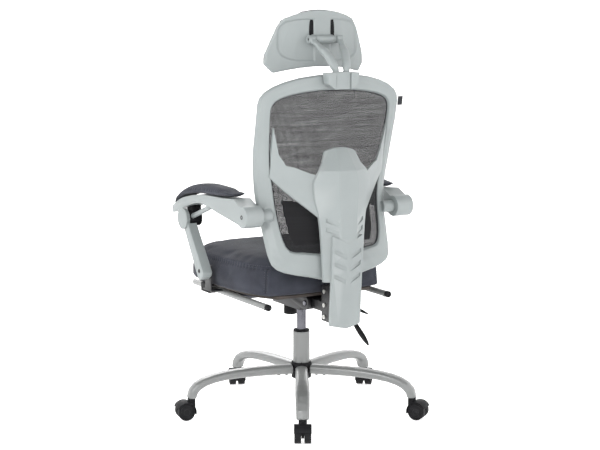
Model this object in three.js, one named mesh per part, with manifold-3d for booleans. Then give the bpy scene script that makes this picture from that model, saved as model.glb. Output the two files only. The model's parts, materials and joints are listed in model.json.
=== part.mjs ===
// A reclining mesh-back office chair: five-leg star base on twin-wheel casters, gas lift,
// tilt mechanism, upholstered seat with a slide-out footrest, a moulded back frame with a
// mesh panel and a Y-shaped spine, a headrest on a fork, and arms that follow the back
// through struts. Millimetres, +Z up; the sitter faces -Y and the sitter's left is +X.
// Every length below is measured from the lift column's axis at floor level.

import * as THREE from 'three';
import { mergeVertices } from 'three/addons/utils/BufferGeometryUtils.js';
import Module from 'manifold-3d';

// ---- driving dimensions -------------------------------------------------------------

const GAP = 0.3;                    // left between pieces that touch
const RUNNING_GAP = 0.5;            // left between pieces that turn or slide on each other
const PAD_GAP = 1.2;                // left behind a pad on a curved shell

// Star base
const LEG_COUNT = 5;
const STAR_TURN = 60.6;             // degrees from +X to the first leg
const STEM_CIRCLE = 339.7;          // radius on which the caster stems stand
const LEG_WIDTH = 40;
const LEG_HEIGHT = 29;
const LEG_AXIS_Z = 125;             // height of a leg's middle at the hub
const HUB_RADIUS = 29.5;
const HUB_LOW_Z = 98;
const HUB_TOP_Z = 146;

// Casters
const WHEEL_RADIUS = 25;
const WHEEL_WIDTH = 19;
const WHEEL_SIDES = 18;
const WEB_WIDTH = 8;                // the hood's middle wall, which carries the axle
const LEG_END_Z = 2 * WHEEL_RADIUS + 12;   // height of the leg's lower end over the caster
const CASTER_TRAIL = 20;
const AXLE_RADIUS = 4;
const HOOD_WALL = 2.6;
const STEM_RADIUS = 5.5;
const SOCKET_RATIO = 12 / 11;       // socket to stem: the stem's corners clear the socket's flats
const STEM_LENGTH = 26;
const CASTER_HEADINGS = [60, 125, 228, 250, 350];   // degrees from +X to each wheel pair

// Gas lift
const TUBE_RADIUS = 25;
const TUBE_WALL = 3;
const TUBE_TOP_Z = 239;
const COLLAR_HEIGHT = 5;
const PISTON_RADIUS = 14;
const LIFT_DROP = 50;               // how far the seat can sink from the height shown
const PISTON_LOW_Z = HUB_LOW_Z + 4 + LIFT_DROP;

// Tilt mechanism
const HOUSING_HALF_WIDTH = 46;
const HOUSING_FRONT_Y = -92;
const HOUSING_REAR_Y = 70;
const HOUSING_TOP_Z = 366;
const HOUSING_HEIGHT = 48;
const HOUSING_LOW_Z = HOUSING_TOP_Z - HOUSING_HEIGHT;
const CHEEK_WALL = 9;
const BACK_PIVOT_Y = HOUSING_REAR_Y + 30;
const BACK_PIVOT_Z = HOUSING_TOP_Z - 21;
const PIVOT_RADIUS = 8;
const PLATE_THICKNESS = 4;
const PAN_THICKNESS = 9;

// Seat
const SEAT_HALF_WIDTH = 243;
const SEAT_REAR_HALF_WIDTH = 212;
const SEAT_FRONT_Y = -350;
const SEAT_REAR_Y = 152;
const SEAT_THICKNESS = 108;

// Footrest
const RAIL_X = SEAT_HALF_WIDTH - 42;   // middle of each footrest tube
const RAIL_Z = HOUSING_TOP_Z - 9;
const RAIL_RADIUS = 9;
const RAIL_REAR_Y = 163;
const BOARD_HALF_WIDTH = RAIL_X - 29;
const BOARD_LENGTH = 186;
const RAIL_FRONT_Y = HOUSING_FRONT_Y - 19 - BOARD_LENGTH - RAIL_RADIUS;
const BOARD_THICKNESS = 8;
const FOOT_PAD_THICKNESS = 22;
const GUIDE_LENGTH = 56;

// Back frame: its lowest and highest points, its half width between the arms, and the plane
// behind the seat from which every depth in the back is measured
const BACK_LOW_Z = 421;
const BACK_TOP_Z = 1010;
const BACK_HALF_WIDTH = SEAT_HALF_WIDTH - 14;
const BACK_PLANE_Y = SEAT_REAR_Y + 65;
const FRAME_DEPTH = 26;
const MESH_THICKNESS = 3;

// Spine cover and bracket
const COVER_HALF_WIDTH = 50;
const COVER_LOW_Z = 293;
const COVER_TOP_Z = 540;
const COVER_THICKNESS = 15;
const BRACKET_HALF_WIDTH = HOUSING_HALF_WIDTH - CHEEK_WALL - 6;
const SPINE_ARM_THICKNESS = 9;

// Headrest
const HEADREST_PIVOT_Y = BACK_PLANE_Y - 84;
const HEADREST_PIVOT_Z = BACK_TOP_Z + 94;
const HEADREST_LOW_Z = HEADREST_PIVOT_Z - 76;
const HEADREST_TOP_Z = HEADREST_PIVOT_Z + 82;
const SHELL_THICKNESS = 13;
const HEAD_PAD_THICKNESS = 34;
const FORK_LUG_X = 47;
const BLOCK_HALF_WIDTH = 52;

// Arms
const ARM_INNER_X = SEAT_HALF_WIDTH - 21;
const ARM_OUTER_X = ARM_INNER_X + 55;
const ARM_PIVOT_Y = BACK_PLANE_Y - 69;
const ARM_PIVOT_Z = BACK_LOW_Z + 196;
const ARM_HOUSING_RADIUS = 31;
const ARM_HUB_Y = ARM_PIVOT_Y - 355;
const ARM_HUB_Z = ARM_PIVOT_Z - 45;
const DRUM_RADIUS = 24;
const HUB_CAP_RADIUS = 32;
const STRUT_FOOT_Y = -106;
const STRUT_FOOT_Z = HOUSING_TOP_Z + 62;
const STRUT_INNER_X = SEAT_HALF_WIDTH + 13;
const STRUT_HEAD_CLEARANCE = 7;     // room round the drum for the open pivot
const BRACKET_WALL = 4;

// ---- materials ----------------------------------------------------------------------

function material(color, roughness, metalness = 0) {
  return new THREE.MeshStandardMaterial({ color, roughness, metalness });
}

const greyPlastic = material(0xb4bbba, 0.45);
const paintedSteel = material(0xa9adab, 0.35, 0.3);
const blackPlastic = material(0x17181a, 0.5);
const blackSteel = material(0x1d1e20, 0.45, 0.4);
const chrome = material(0x9a9aa2, 0.2, 0.9);
const cloth = material(0x4a4d57, 0.95);
const meshCloth = material(0x3d3f42, 0.95);
const plywood = material(0x9c7d55, 0.8);
const tyre = material(0x222326, 0.7);

// ---- shape tools --------------------------------------------------------------------

const wasm = await Module();
wasm.setup();

// Only positions, shared between faces, with the faces turned to point outwards.
function closed(geometry) {
  geometry.deleteAttribute('normal');
  geometry.deleteAttribute('uv');
  const merged = mergeVertices(geometry, 1e-4);
  const p = merged.attributes.position;
  const index = merged.index.array;
  const [a, b, c] = [new THREE.Vector3(), new THREE.Vector3(), new THREE.Vector3()];
  let volume = 0;
  for (let i = 0; i < index.length; i += 3) {
    a.fromBufferAttribute(p, index[i]);
    b.fromBufferAttribute(p, index[i + 1]);
    c.fromBufferAttribute(p, index[i + 2]);
    volume += a.dot(b.cross(c));
  }
  if (volume < 0) {
    for (let i = 0; i < index.length; i += 3) {
      [index[i], index[i + 1]] = [index[i + 1], index[i]];
    }
  }
  return merged;
}

function solid(geometry) {
  const mesh = closed(geometry);
  return new wasm.Manifold(new wasm.Mesh({
    numProp: 3,
    vertProperties: new Float32Array(mesh.attributes.position.array),
    triVerts: new Uint32Array(mesh.index.array),
  }));
}

function geometryOf(manifold) {
  const mesh = manifold.getMesh();
  const geometry = new THREE.BufferGeometry();
  geometry.setAttribute('position', new THREE.BufferAttribute(mesh.vertProperties, 3));
  geometry.setIndex(new THREE.BufferAttribute(mesh.triVerts, 1));
  return geometry;
}

function join(...geometries) {
  return geometryOf(geometries.map(solid).reduce((all, next) => all.add(next)));
}

function cut(geometry, ...tools) {
  return geometryOf(tools.map(solid).reduce((rest, tool) => rest.subtract(tool), solid(geometry)));
}

function box(x0, x1, y0, y1, z0, z1) {
  return new THREE.BoxGeometry(x1 - x0, y1 - y0, z1 - z0)
    .translate((x0 + x1) / 2, (y0 + y1) / 2, (z0 + z1) / 2);
}

// A round bar between two points.
function rod(radius, from, to, sides = 20) {
  const along = new THREE.Vector3().subVectors(to, from);
  const turn = new THREE.Quaternion().setFromUnitVectors(
    new THREE.Vector3(0, 1, 0), along.clone().normalize());
  return new THREE.CylinderGeometry(radius, radius, along.length(), sides)
    .translate(0, along.length() / 2, 0)
    .applyQuaternion(turn)
    .translate(from.x, from.y, from.z);
}

function rodAlongX(radius, x0, x1, y, z, sides = 20) {
  return rod(radius, new THREE.Vector3(x0, y, z), new THREE.Vector3(x1, y, z), sides);
}

function rodAlongZ(radius, z0, z1, x = 0, y = 0, sides = 28) {
  return rod(radius, new THREE.Vector3(x, y, z0), new THREE.Vector3(x, y, z1), sides);
}

// A flat outline in the YZ plane, pulled along X from x0 to x1.
function plateAcrossX(shape, x0, x1, curveSegments = 6) {
  return new THREE.ExtrudeGeometry(shape, { depth: x1 - x0, bevelEnabled: false, curveSegments })
    .applyMatrix4(new THREE.Matrix4().makeBasis(
      new THREE.Vector3(0, 1, 0), new THREE.Vector3(0, 0, 1), new THREE.Vector3(1, 0, 0)))
    .translate(x0, 0, 0);
}

// Moves every point of a geometry to where place(point) puts it.
function reshape(geometry, place) {
  const p = geometry.attributes.position;
  const point = new THREE.Vector3();
  for (let i = 0; i < p.count; i += 1) {
    point.fromBufferAttribute(p, i);
    const [x, y, z] = place(point);
    p.setXYZ(i, x, y, z);
  }
  return geometry;
}

// A block of nx by ny by nz cells whose corners run from -1 to 1.
function block(nx, ny, nz, place) {
  return reshape(new THREE.BoxGeometry(2, 2, 2, nx, ny, nz), place);
}

// A bar lofted along t = 0..1: place(t, c, s) gets the section's cosine and sine, which are
// squared off towards a rounded rectangle by corner, from 1 (oval) to 0.5.
function loft(sides, steps, corner, place) {
  const square = (v) => Math.sign(v) * Math.abs(v) ** corner;
  return reshape(new THREE.CylinderGeometry(1, 1, 1, sides, steps), (v) =>
    place(v.y + 0.5, square(v.x), square(v.z)));
}

// Reads a smooth curve through evenly spaced values at t = 0..1.
function smooth(values) {
  const curve = new THREE.SplineCurve(values.map((value, i) => new THREE.Vector2(i, value)));
  return (t) => curve.getPoint(THREE.MathUtils.clamp(t, 0, 1)).y;
}

function points(list) {
  return list.map(([a, b]) => new THREE.Vector2(a, b));
}

function mirrorX(geometry) {
  return closed(geometry.clone().scale(-1, 1, 1));
}

const chair = new THREE.Group();

function add(name, geometry, look) {
  const mesh = new THREE.Mesh(closed(geometry), look);
  mesh.name = name;
  chair.add(mesh);
  return mesh;
}

// The same piece on both sides, made once for the sitter's left.
function addPair(name, geometry, look) {
  add(`${name}_left`, geometry.clone(), look);
  add(`${name}_right`, mirrorX(geometry), look);
}

// ---- star base ----------------------------------------------------------------------

// One leg in its own upright plane: level out of the hub, then bent down to the caster.
function legGeometry() {
  const start = HUB_RADIUS + GAP + 1;
  const run = STEM_CIRCLE - start;
  const curve = new THREE.CubicBezierCurve(
    new THREE.Vector2(start, LEG_AXIS_Z),
    new THREE.Vector2(start + run * 0.62, LEG_AXIS_Z + 4),
    new THREE.Vector2(STEM_CIRCLE - 3, LEG_AXIS_Z),
    new THREE.Vector2(STEM_CIRCLE, LEG_END_Z));
  const width = smooth([LEG_WIDTH - 2, LEG_WIDTH, LEG_WIDTH + 3, LEG_WIDTH + 1, LEG_WIDTH - 2]);
  const height = smooth([LEG_HEIGHT + 1, LEG_HEIGHT, LEG_HEIGHT - 3, LEG_HEIGHT - 2, LEG_HEIGHT - 1]);
  const leg = loft(10, 9, 0.7, (t, c, s) => {
    const at = curve.getPoint(t);
    const along = curve.getTangent(t);
    const up = new THREE.Vector2(-along.y, along.x);
    const rise = (s * height(t)) / 2;
    return [at.x + up.x * rise, (c * width(t)) / 2, at.y + up.y * rise];
  });
  const socket = rodAlongZ(STEM_RADIUS * SOCKET_RATIO, LEG_END_Z - 20, LEG_END_Z + STEM_LENGTH + 2,
    STEM_CIRCLE, 0, 8);
  const overhang = box(0, STEM_CIRCLE * 2, -LEG_WIDTH, LEG_WIDTH, 0, LEG_END_Z);
  const hubSeat = rodAlongZ(HUB_RADIUS + GAP, 0, HUB_TOP_Z * 2, 0, 0, 32);
  return cut(leg, socket, overhang, hubSeat);
}

const legAngles = Array.from({ length: LEG_COUNT }, (_, i) =>
  THREE.MathUtils.degToRad(STAR_TURN + (i * 360) / LEG_COUNT));

add('base_hub', cut(
  rodAlongZ(HUB_RADIUS, HUB_LOW_Z, HUB_TOP_Z, 0, 0, 32),
  rodAlongZ(TUBE_RADIUS + GAP, 0, HUB_TOP_Z * 2, 0, 0, 32)), blackPlastic);

const leg = legGeometry();
legAngles.forEach((angle, i) => {
  add(`base_leg_${i + 1}`, leg.clone().rotateZ(angle), paintedSteel);
});

// ---- casters ------------------------------------------------------------------------

// Height of the axle, so that a flat side of the wheels stands on the floor.
const axleZ = WHEEL_RADIUS * Math.cos(Math.PI / WHEEL_SIDES);

// In a caster's own frame the stem is the Z axis and the wheels trail towards +X.
function hoodGeometry() {
  const outer = WHEEL_RADIUS + RUNNING_GAP + 1 + HOOD_WALL;
  const inner = outer - HOOD_WALL;
  const halfWidth = WEB_WIDTH / 2 + WHEEL_WIDTH + 1.5;
  const from = THREE.MathUtils.degToRad(25);
  const to = THREE.MathUtils.degToRad(195);
  const shape = new THREE.Shape();
  shape.absarc(0, 0, outer, from, to, false);
  shape.absarc(0, 0, inner, to, from, true);
  const shell = new THREE.ExtrudeGeometry(shape, {
    depth: halfWidth * 2, bevelEnabled: false, curveSegments: 9,
  }).rotateX(Math.PI / 2).translate(CASTER_TRAIL, halfWidth, axleZ);
  const webShape = new THREE.Shape();
  webShape.absarc(0, 0, inner + 1, from, to, false);
  webShape.lineTo(-10, -9);
  webShape.lineTo(9, -9);
  const web = new THREE.ExtrudeGeometry(webShape, {
    depth: WEB_WIDTH, bevelEnabled: false, curveSegments: 9,
  }).rotateX(Math.PI / 2).translate(CASTER_TRAIL, WEB_WIDTH / 2, axleZ);
  const neckRadius = 12;
  const neck = cut(
    rodAlongZ(neckRadius, axleZ + 4, LEG_END_Z - GAP, 0, 0, 12),
    new THREE.CylinderGeometry(inner, inner, halfWidth * 3, 18).translate(CASTER_TRAIL, 0, axleZ));
  const stem = rodAlongZ(STEM_RADIUS, LEG_END_Z - 6, LEG_END_Z + STEM_LENGTH, 0, 0, 8);
  const axle = new THREE.CylinderGeometry(AXLE_RADIUS, AXLE_RADIUS,
    WEB_WIDTH + WHEEL_WIDTH * 1.6, 8).translate(CASTER_TRAIL, 0, axleZ);
  return join(shell, web, neck, stem, axle);
}

// One wheel on the +Y side of the web: a rounded tread round a dished face.
function wheelGeometry(side) {
  const near = WEB_WIDTH / 2 + RUNNING_GAP;
  const far = near + WHEEL_WIDTH;
  const bore = AXLE_RADIUS + RUNNING_GAP / 2;
  const boreDepth = near + WHEEL_WIDTH * 0.82;
  const profile = points([
    [0, boreDepth], [bore, boreDepth], [bore, near], [WHEEL_RADIUS - 2, near],
    [WHEEL_RADIUS, near + 3], [WHEEL_RADIUS, far - 5], [WHEEL_RADIUS - 4, far], [0, far],
  ]);
  const wheel = new THREE.LatheGeometry(profile, WHEEL_SIDES)
    .rotateY(Math.PI / WHEEL_SIDES)
    .scale(1, side, 1)
    .translate(CASTER_TRAIL, 0, axleZ);
  return closed(wheel);
}

const hood = hoodGeometry();
legAngles.forEach((angle, i) => {
  const heading = THREE.MathUtils.degToRad(CASTER_HEADINGS[i]);
  const place = (geometry) => geometry.clone()
    .rotateZ(heading)
    .translate(STEM_CIRCLE * Math.cos(angle), STEM_CIRCLE * Math.sin(angle), 0);
  add(`caster_${i + 1}_hood`, place(hood), blackPlastic);
  add(`caster_${i + 1}_wheel_a`, place(wheelGeometry(1)), tyre);
  add(`caster_${i + 1}_wheel_b`, place(wheelGeometry(-1)), tyre);
});

// ---- gas lift -----------------------------------------------------------------------

add('lower_column', cut(
  rodAlongZ(TUBE_RADIUS, HUB_LOW_Z - 2, TUBE_TOP_Z, 0, 0, 32),
  rodAlongZ(TUBE_RADIUS - TUBE_WALL, HUB_LOW_Z + 2, TUBE_TOP_Z * 2, 0, 0, 32)), paintedSteel);

add('column_collar', cut(
  join(
    rodAlongZ(TUBE_RADIUS - 1, TUBE_TOP_Z + GAP, TUBE_TOP_Z + COLLAR_HEIGHT),
    rodAlongZ(TUBE_RADIUS - TUBE_WALL - GAP, TUBE_TOP_Z - 15, TUBE_TOP_Z + COLLAR_HEIGHT - 1)),
  rodAlongZ(PISTON_RADIUS + RUNNING_GAP, 0, TUBE_TOP_Z * 2)), blackPlastic);

const pistonTopZ = HOUSING_TOP_Z - 12;
add('gas_piston', rodAlongZ(PISTON_RADIUS, PISTON_LOW_Z, pistonTopZ), chrome);

// ---- tilt mechanism -----------------------------------------------------------------

// A tray under the seat plate, with two cheeks that hold the back's pivot shaft.
function housingGeometry() {
  const half = HOUSING_HALF_WIDTH;
  const tray = box(-half, half, HOUSING_FRONT_Y, HOUSING_REAR_Y, HOUSING_LOW_Z, HOUSING_TOP_Z);
  const cheek = (x0) => join(
    box(x0, x0 + CHEEK_WALL, HOUSING_REAR_Y - 5, BACK_PIVOT_Y, HOUSING_LOW_Z + 8, HOUSING_TOP_Z),
    rodAlongX(20, x0, x0 + CHEEK_WALL, BACK_PIVOT_Y, BACK_PIVOT_Z));
  return cut(
    join(tray, cheek(-half), cheek(half - CHEEK_WALL)),
    rodAlongZ(PISTON_RADIUS + RUNNING_GAP, 0, pistonTopZ + RUNNING_GAP),
    rodAlongX(PIVOT_RADIUS + GAP, -half * 2, half * 2, BACK_PIVOT_Y, BACK_PIVOT_Z));
}

add('tilt_housing', housingGeometry(), blackSteel);
add('back_pivot_shaft', rodAlongX(PIVOT_RADIUS, -HOUSING_HALF_WIDTH - 3, HOUSING_HALF_WIDTH + 3,
  BACK_PIVOT_Y, BACK_PIVOT_Z), chrome);

const plateLowZ = HOUSING_TOP_Z + GAP;
add('seat_plate', box(-92, 92, HOUSING_FRONT_Y - 18, HOUSING_REAR_Y + 14,
  plateLowZ, plateLowZ + PLATE_THICKNESS), blackSteel);

// A lever on the sitter's right: a bent rod from the housing with a flat paddle at its end.
function leverGeometry(root, bend, tip, paddleLength) {
  const out = root.clone().setX(root.x - 16);
  const path = new THREE.CatmullRomCurve3([root, out, bend, tip]);
  const section = new THREE.Shape();
  section.absarc(0, 0, 4.5, 0, Math.PI * 2, false);
  const stick = new THREE.ExtrudeGeometry(section, {
    steps: 8, extrudePath: path, curveSegments: 3,
  });
  const toTip = new THREE.Vector3().subVectors(tip, bend).normalize();
  const start = tip.clone().addScaledVector(toTip, -paddleLength * 0.6);
  const across = new THREE.Vector3(0, 1, 0);
  const normal = new THREE.Vector3().crossVectors(toTip, across).normalize();
  const width = smooth([6, 12, 16, 17, 14, 4]);
  const thickness = smooth([5.5, 6, 5.5, 5, 4, 2]);
  const paddle = loft(8, 6, 0.8, (t, c, s) => {
    const at = start.clone()
      .addScaledVector(toTip, t * paddleLength)
      .addScaledVector(across, c * width(t))
      .addScaledVector(normal, s * thickness(t));
    return [at.x, at.y, at.z];
  });
  return join(stick, paddle);
}

const leverX = -HOUSING_HALF_WIDTH - 2 * RUNNING_GAP;
const leverZ = HOUSING_LOW_Z + 18;
add('height_lever', leverGeometry(
  new THREE.Vector3(leverX, 2, leverZ),
  new THREE.Vector3(leverX - 70, 26, leverZ - 12),
  new THREE.Vector3(leverX - 128, 48, leverZ - 44), 70), blackPlastic);
add('recline_lever', leverGeometry(
  new THREE.Vector3(leverX, 46, leverZ - 2),
  new THREE.Vector3(leverX - 62, 92, leverZ - 40),
  new THREE.Vector3(leverX - 98, 112, leverZ - 108), 84), blackPlastic);

// The knob that sets the recline spring, on an upright screw under the housing's front.
const knobY = HOUSING_FRONT_Y + 26;
add('tension_knob', new THREE.LatheGeometry(points([
  [0, -38], [17, -38], [20, -34], [20, -14], [15, -10], [7, -8], [7, 0], [0, 0],
]), 16).rotateX(Math.PI / 2).translate(0, knobY, HOUSING_LOW_Z - RUNNING_GAP), blackPlastic);

// ---- seat ---------------------------------------------------------------------------

const panLowZ = plateLowZ + PLATE_THICKNESS + GAP;
const panTopZ = panLowZ + PAN_THICKNESS;
const seatLowZ = panTopZ + GAP;

// Half the seat's width at a place from the rear (0) to the front (1).
const seatHalf = smooth([
  SEAT_REAR_HALF_WIDTH, SEAT_HALF_WIDTH * 0.94, SEAT_HALF_WIDTH * 0.985, SEAT_HALF_WIDTH,
  SEAT_HALF_WIDTH * 0.985, SEAT_HALF_WIDTH * 0.93,
]);
const seatLength = SEAT_REAR_Y - SEAT_FRONT_Y;
const seatY = (t) => SEAT_REAR_Y - t * seatLength;

const PAN_MARGIN = 34;
add('seat_pan', block(6, 8, 1, (v) => {
  const t = (1 - v.y) / 2;
  const round = 1 - 0.12 * v.y ** 8;
  return [v.x * (seatHalf(t) - PAN_MARGIN) * round,
    THREE.MathUtils.lerp(seatY(1) + 2 * PAN_MARGIN, seatY(0) - PAN_MARGIN / 2, 1 - t),
    v.z > 0 ? panTopZ : panLowZ];
}), plywood);

// A crowned cushion with a level middle and a waterfall front edge.
add('seat_cushion', block(12, 12, 3, (v) => {
  const t = (1 - v.y) / 2;
  const plan = 1 - 0.1 * v.y ** 6;
  const bulge = 1 - 0.035 * v.z * v.z;
  const x = v.x * seatHalf(t) * plan * bulge;
  const front = 1 - 0.05 * Math.abs(v.x) ** 4;
  const y = seatY(0.5) + (v.y * seatLength * front * bulge) / 2;
  const fall = (edge) => Math.max(0, Math.abs(edge) - 0.45) / 0.55;
  const waterfall = v.y < 0 ? 30 : 14;
  const top = SEAT_THICKNESS - 14 * fall(v.x) ** 2.5 - waterfall * fall(v.y) ** 2.5;
  const low = v.y < 0 ? 8 * fall(v.y) ** 3 : 0;
  return [x, y, seatLowZ + THREE.MathUtils.lerp(low, top, (v.z + 1) / 2)];
}), cloth);

// ---- footrest -----------------------------------------------------------------------

const guideRearY = -178;
addPair('footrest_guide', cut(
  box(RAIL_X - 16, RAIL_X + 16, guideRearY - GUIDE_LENGTH, guideRearY,
    RAIL_Z - RAIL_RADIUS - 5, panLowZ - GAP),
  rod(RAIL_RADIUS + RUNNING_GAP,
    new THREE.Vector3(RAIL_X, guideRearY - GUIDE_LENGTH * 2, RAIL_Z),
    new THREE.Vector3(RAIL_X, guideRearY + GUIDE_LENGTH, RAIL_Z))), blackPlastic);

// Two tubes joined by a bar across their front ends.
const railRod = (x) => rod(RAIL_RADIUS,
  new THREE.Vector3(x, RAIL_FRONT_Y, RAIL_Z), new THREE.Vector3(x, RAIL_REAR_Y, RAIL_Z), 16);
const CROSSBAR_RADIUS = 7;
add('footrest_frame', join(
  railRod(RAIL_X), railRod(-RAIL_X),
  rodAlongX(CROSSBAR_RADIUS, -RAIL_X, RAIL_X, RAIL_FRONT_Y + RAIL_RADIUS, RAIL_Z, 16)), paintedSteel);

// The board hangs below the tubes on lugs round the bar, with its pad facing down.
const hingeY = RAIL_FRONT_Y + RAIL_RADIUS;
const boardTopZ = RAIL_Z - CROSSBAR_RADIUS - RUNNING_GAP;
const boardLowZ = boardTopZ - BOARD_THICKNESS;
const lugRadius = CROSSBAR_RADIUS + 4;
const lug = (x) => rodAlongX(lugRadius, x - 14, x + 14, hingeY, RAIL_Z, 16);
add('footrest_board', cut(
  join(
    box(-BOARD_HALF_WIDTH, BOARD_HALF_WIDTH, hingeY - 4, hingeY + BOARD_LENGTH, boardLowZ, boardTopZ),
    lug(-110), lug(110)),
  rodAlongX(CROSSBAR_RADIUS + RUNNING_GAP, -RAIL_X, RAIL_X, hingeY, RAIL_Z, 16)), blackPlastic);

add('footrest_pad', block(8, 6, 3, (v) => {
  const bulge = 1 - 0.04 * v.z * v.z;
  const edge = Math.max(v.x ** 6, v.y ** 6);
  const low = boardLowZ - GAP - FOOT_PAD_THICKNESS * (1 - 0.45 * edge);
  const top = boardLowZ - GAP;
  return [v.x * (BOARD_HALF_WIDTH - 2) * bulge,
    hingeY + (BOARD_LENGTH - 4) / 2 + (v.y * (BOARD_LENGTH - 8) * bulge) / 2,
    THREE.MathUtils.lerp(low, top, (v.z + 1) / 2)];
}), cloth);

// ---- back frame ---------------------------------------------------------------------

// The rear face of the back: how far back it lies on the middle line and at the side rails,
// from its lowest to its highest point. The sides curl forward round the sitter's waist.
const middleDepth = smooth([0, 5, -15, -22, -20, -13]);
const sideDepth = smooth([-17, -60, -95, -86, -57, -39]);
const railX = smooth([190, 203, 209, 225, 229, 222]);

// The outlines below are drawn for a back of this half width, between these two heights.
const DRAWN_HALF_WIDTH = 229;
const DRAWN_LOW_Z = 421;
const DRAWN_TOP_Z = 1010;
const widen = BACK_HALF_WIDTH / DRAWN_HALF_WIDTH;
const heighten = (BACK_TOP_Z - BACK_LOW_Z) / (DRAWN_TOP_Z - DRAWN_LOW_Z);
const drawnHeight = (z) => BACK_LOW_Z + (z - DRAWN_LOW_Z) * heighten;

function backY(x, z) {
  const t = (z - BACK_LOW_Z) / (BACK_TOP_Z - BACK_LOW_Z);
  const share = (x / (railX(t) * widen)) ** 2;
  return BACK_PLANE_Y + THREE.MathUtils.lerp(middleDepth(t), sideDepth(t), Math.min(share, 1.15));
}

// Outer and inner edges of the frame on the sitter's left, from the top middle down to the
// bottom middle; the other side mirrors them.
const OUTER_EDGE = [
  [0, 1010], [112, 1001], [190, 977], [225, 947], [229, 905], [228, 835], [225, 765],
  [215, 680], [207, 600], [203, 535], [195, 478], [162, 455], [90, 439], [0, 421],
].map(([x, z]) => [x * widen, drawnHeight(z)]);
const INNER_EDGE = [
  [0, 965], [106, 957], [165, 943], [189, 924], [193, 893], [189, 830], [184, 765],
  [172, 685], [165, 605], [158, 548], [141, 517], [108, 513], [60, 507], [0, 500],
].map(([x, z]) => [x * widen, drawnHeight(z)]);

function wholeEdge(half) {
  const other = half.slice(1, -1).reverse().map(([x, z]) => [-x, z]);
  return new THREE.CatmullRomCurve3(
    [...half, ...other].map(([x, z]) => new THREE.Vector3(x, 0, z)), true, 'catmullrom', 0.5);
}

const outerCurve = wholeEdge(OUTER_EDGE);
const innerCurve = wholeEdge(INNER_EDGE);
const FRAME_STATIONS = 52;

// A ring of rails: a torus whose tube section is stretched between the two edges.
function frameRing() {
  const ring = new THREE.TorusGeometry(2, 1, 8, FRAME_STATIONS);
  const uv = ring.attributes.uv.clone();
  const p = ring.attributes.position;
  const squared = (v) => Math.sign(v) * Math.abs(v) ** 0.6;
  for (let i = 0; i < p.count; i += 1) {
    const outer = outerCurve.getPoint(uv.getX(i) % 1);
    const inner = innerCurve.getPoint(uv.getX(i) % 1);
    const angle = uv.getY(i) * Math.PI * 2;
    const across = (1 + squared(Math.cos(angle))) / 2;
    const x = THREE.MathUtils.lerp(inner.x, outer.x, across);
    const z = THREE.MathUtils.lerp(inner.z, outer.z, across);
    p.setXYZ(i, x, backY(x, z) - (FRAME_DEPTH * (1 - squared(Math.sin(angle)))) / 2, z);
  }
  return ring;
}

// A round boss on each rail's rear face, whose end carries the arm.
const BOSS_RADIUS = 17;
const bossInnerX = railX(1 / 3) * widen - 23;   // well inside the rail
const armBoss = (side) => rodAlongX(BOSS_RADIUS, side * bossInnerX, side * (ARM_INNER_X - RUNNING_GAP),
  ARM_PIVOT_Y, ARM_PIVOT_Z);

add('back_frame', join(frameRing(), armBoss(1), armBoss(-1)), greyPlastic);

// The mesh fills the window, held in the middle of the frame's depth.
const MESH_MARGIN = 4;
const meshLowZ = INNER_EDGE.at(-1)[1] + 2 * MESH_MARGIN;
const meshTopZ = INNER_EDGE[0][1] - 3;

// Half the window's width at a height, from the straight runs of its edge.
function windowHalf(z) {
  const side = INNER_EDGE.slice(2, -3);
  const next = side.findIndex(([, height]) => height <= z);
  if (next <= 0) return side.at(next)[0];
  const [[x0, z0], [x1, z1]] = [side[next - 1], side[next]];
  return THREE.MathUtils.lerp(x0, x1, (z0 - z) / (z0 - z1));
}

add('back_mesh', block(8, 1, 12, (v) => {
  const t = (v.z + 1) / 2;
  const x = v.x * (windowHalf(THREE.MathUtils.lerp(meshLowZ, meshTopZ, t)) - MESH_MARGIN);
  const low = meshLowZ + 18 * Math.abs(v.x) ** 1.5;
  const top = meshTopZ - 42 * Math.abs(v.x) ** 2.6;
  const z = THREE.MathUtils.lerp(low, top, t);
  return [x, backY(x, z) - FRAME_DEPTH / 2 + (v.y * MESH_THICKNESS) / 2, z];
}), meshCloth);

// A lumbar pad in front of the mesh.
const lumbarZ = drawnHeight(591);
const LUMBAR_SIDE_ROOM = 16;        // left between the pad and the window's edge
add('lumbar_pad', block(6, 2, 4, (v) => {
  const bulge = 1 - 0.06 * v.y * v.y;
  const z = lumbarZ + v.z * 68 * heighten * bulge;
  const x = v.x * (windowHalf(z) - LUMBAR_SIDE_ROOM) * bulge;
  const edge = Math.max(v.x ** 4, v.z ** 4);
  const rear = backY(x, z) - FRAME_DEPTH / 2 - MESH_THICKNESS / 2 - 2 * PAD_GAP;
  return [x, rear - ((1 - v.y) / 2) * 30 * (1 - 0.5 * edge), z];
}), cloth);

// ---- spine, cover and bracket -------------------------------------------------------

// Rear ridge of the spine on the middle line, from the cover's lower end to the hump's top.
const SPINE_TOP_Z = drawnHeight(806);
const SPINE_LOW_Z = BACK_LOW_Z + 7;
const ridgeDepth = smooth([37, 41, 45, 49, 51, 51, 51, 45, 5]);

function ridge(z) {
  return BACK_PLANE_Y + ridgeDepth((z - COVER_LOW_Z) / (SPINE_TOP_Z - COVER_LOW_Z));
}

// The cover: a long plate with sloping flanks and a V-shaped upper end.
function coverGeometry(grow) {
  const half = COVER_HALF_WIDTH + grow;
  return block(4, 1, 10, (v) => {
    const x = v.x * half;
    const top = COVER_TOP_Z + grow + Math.abs(x) * 0.42;
    const low = COVER_LOW_Z - grow * 4 + Math.abs(x) * 0.22;
    const z = THREE.MathUtils.lerp(low, top, (v.z + 1) / 2);
    const rear = ridge(z) - 12 * Math.max(0, Math.abs(v.x) - 0.4) + grow * 40;
    const front = ridge(z) - COVER_THICKNESS - grow;
    return [x, v.y > 0 ? rear : THREE.MathUtils.lerp(front, rear, (v.y + 1) / 2), z];
  });
}

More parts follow.
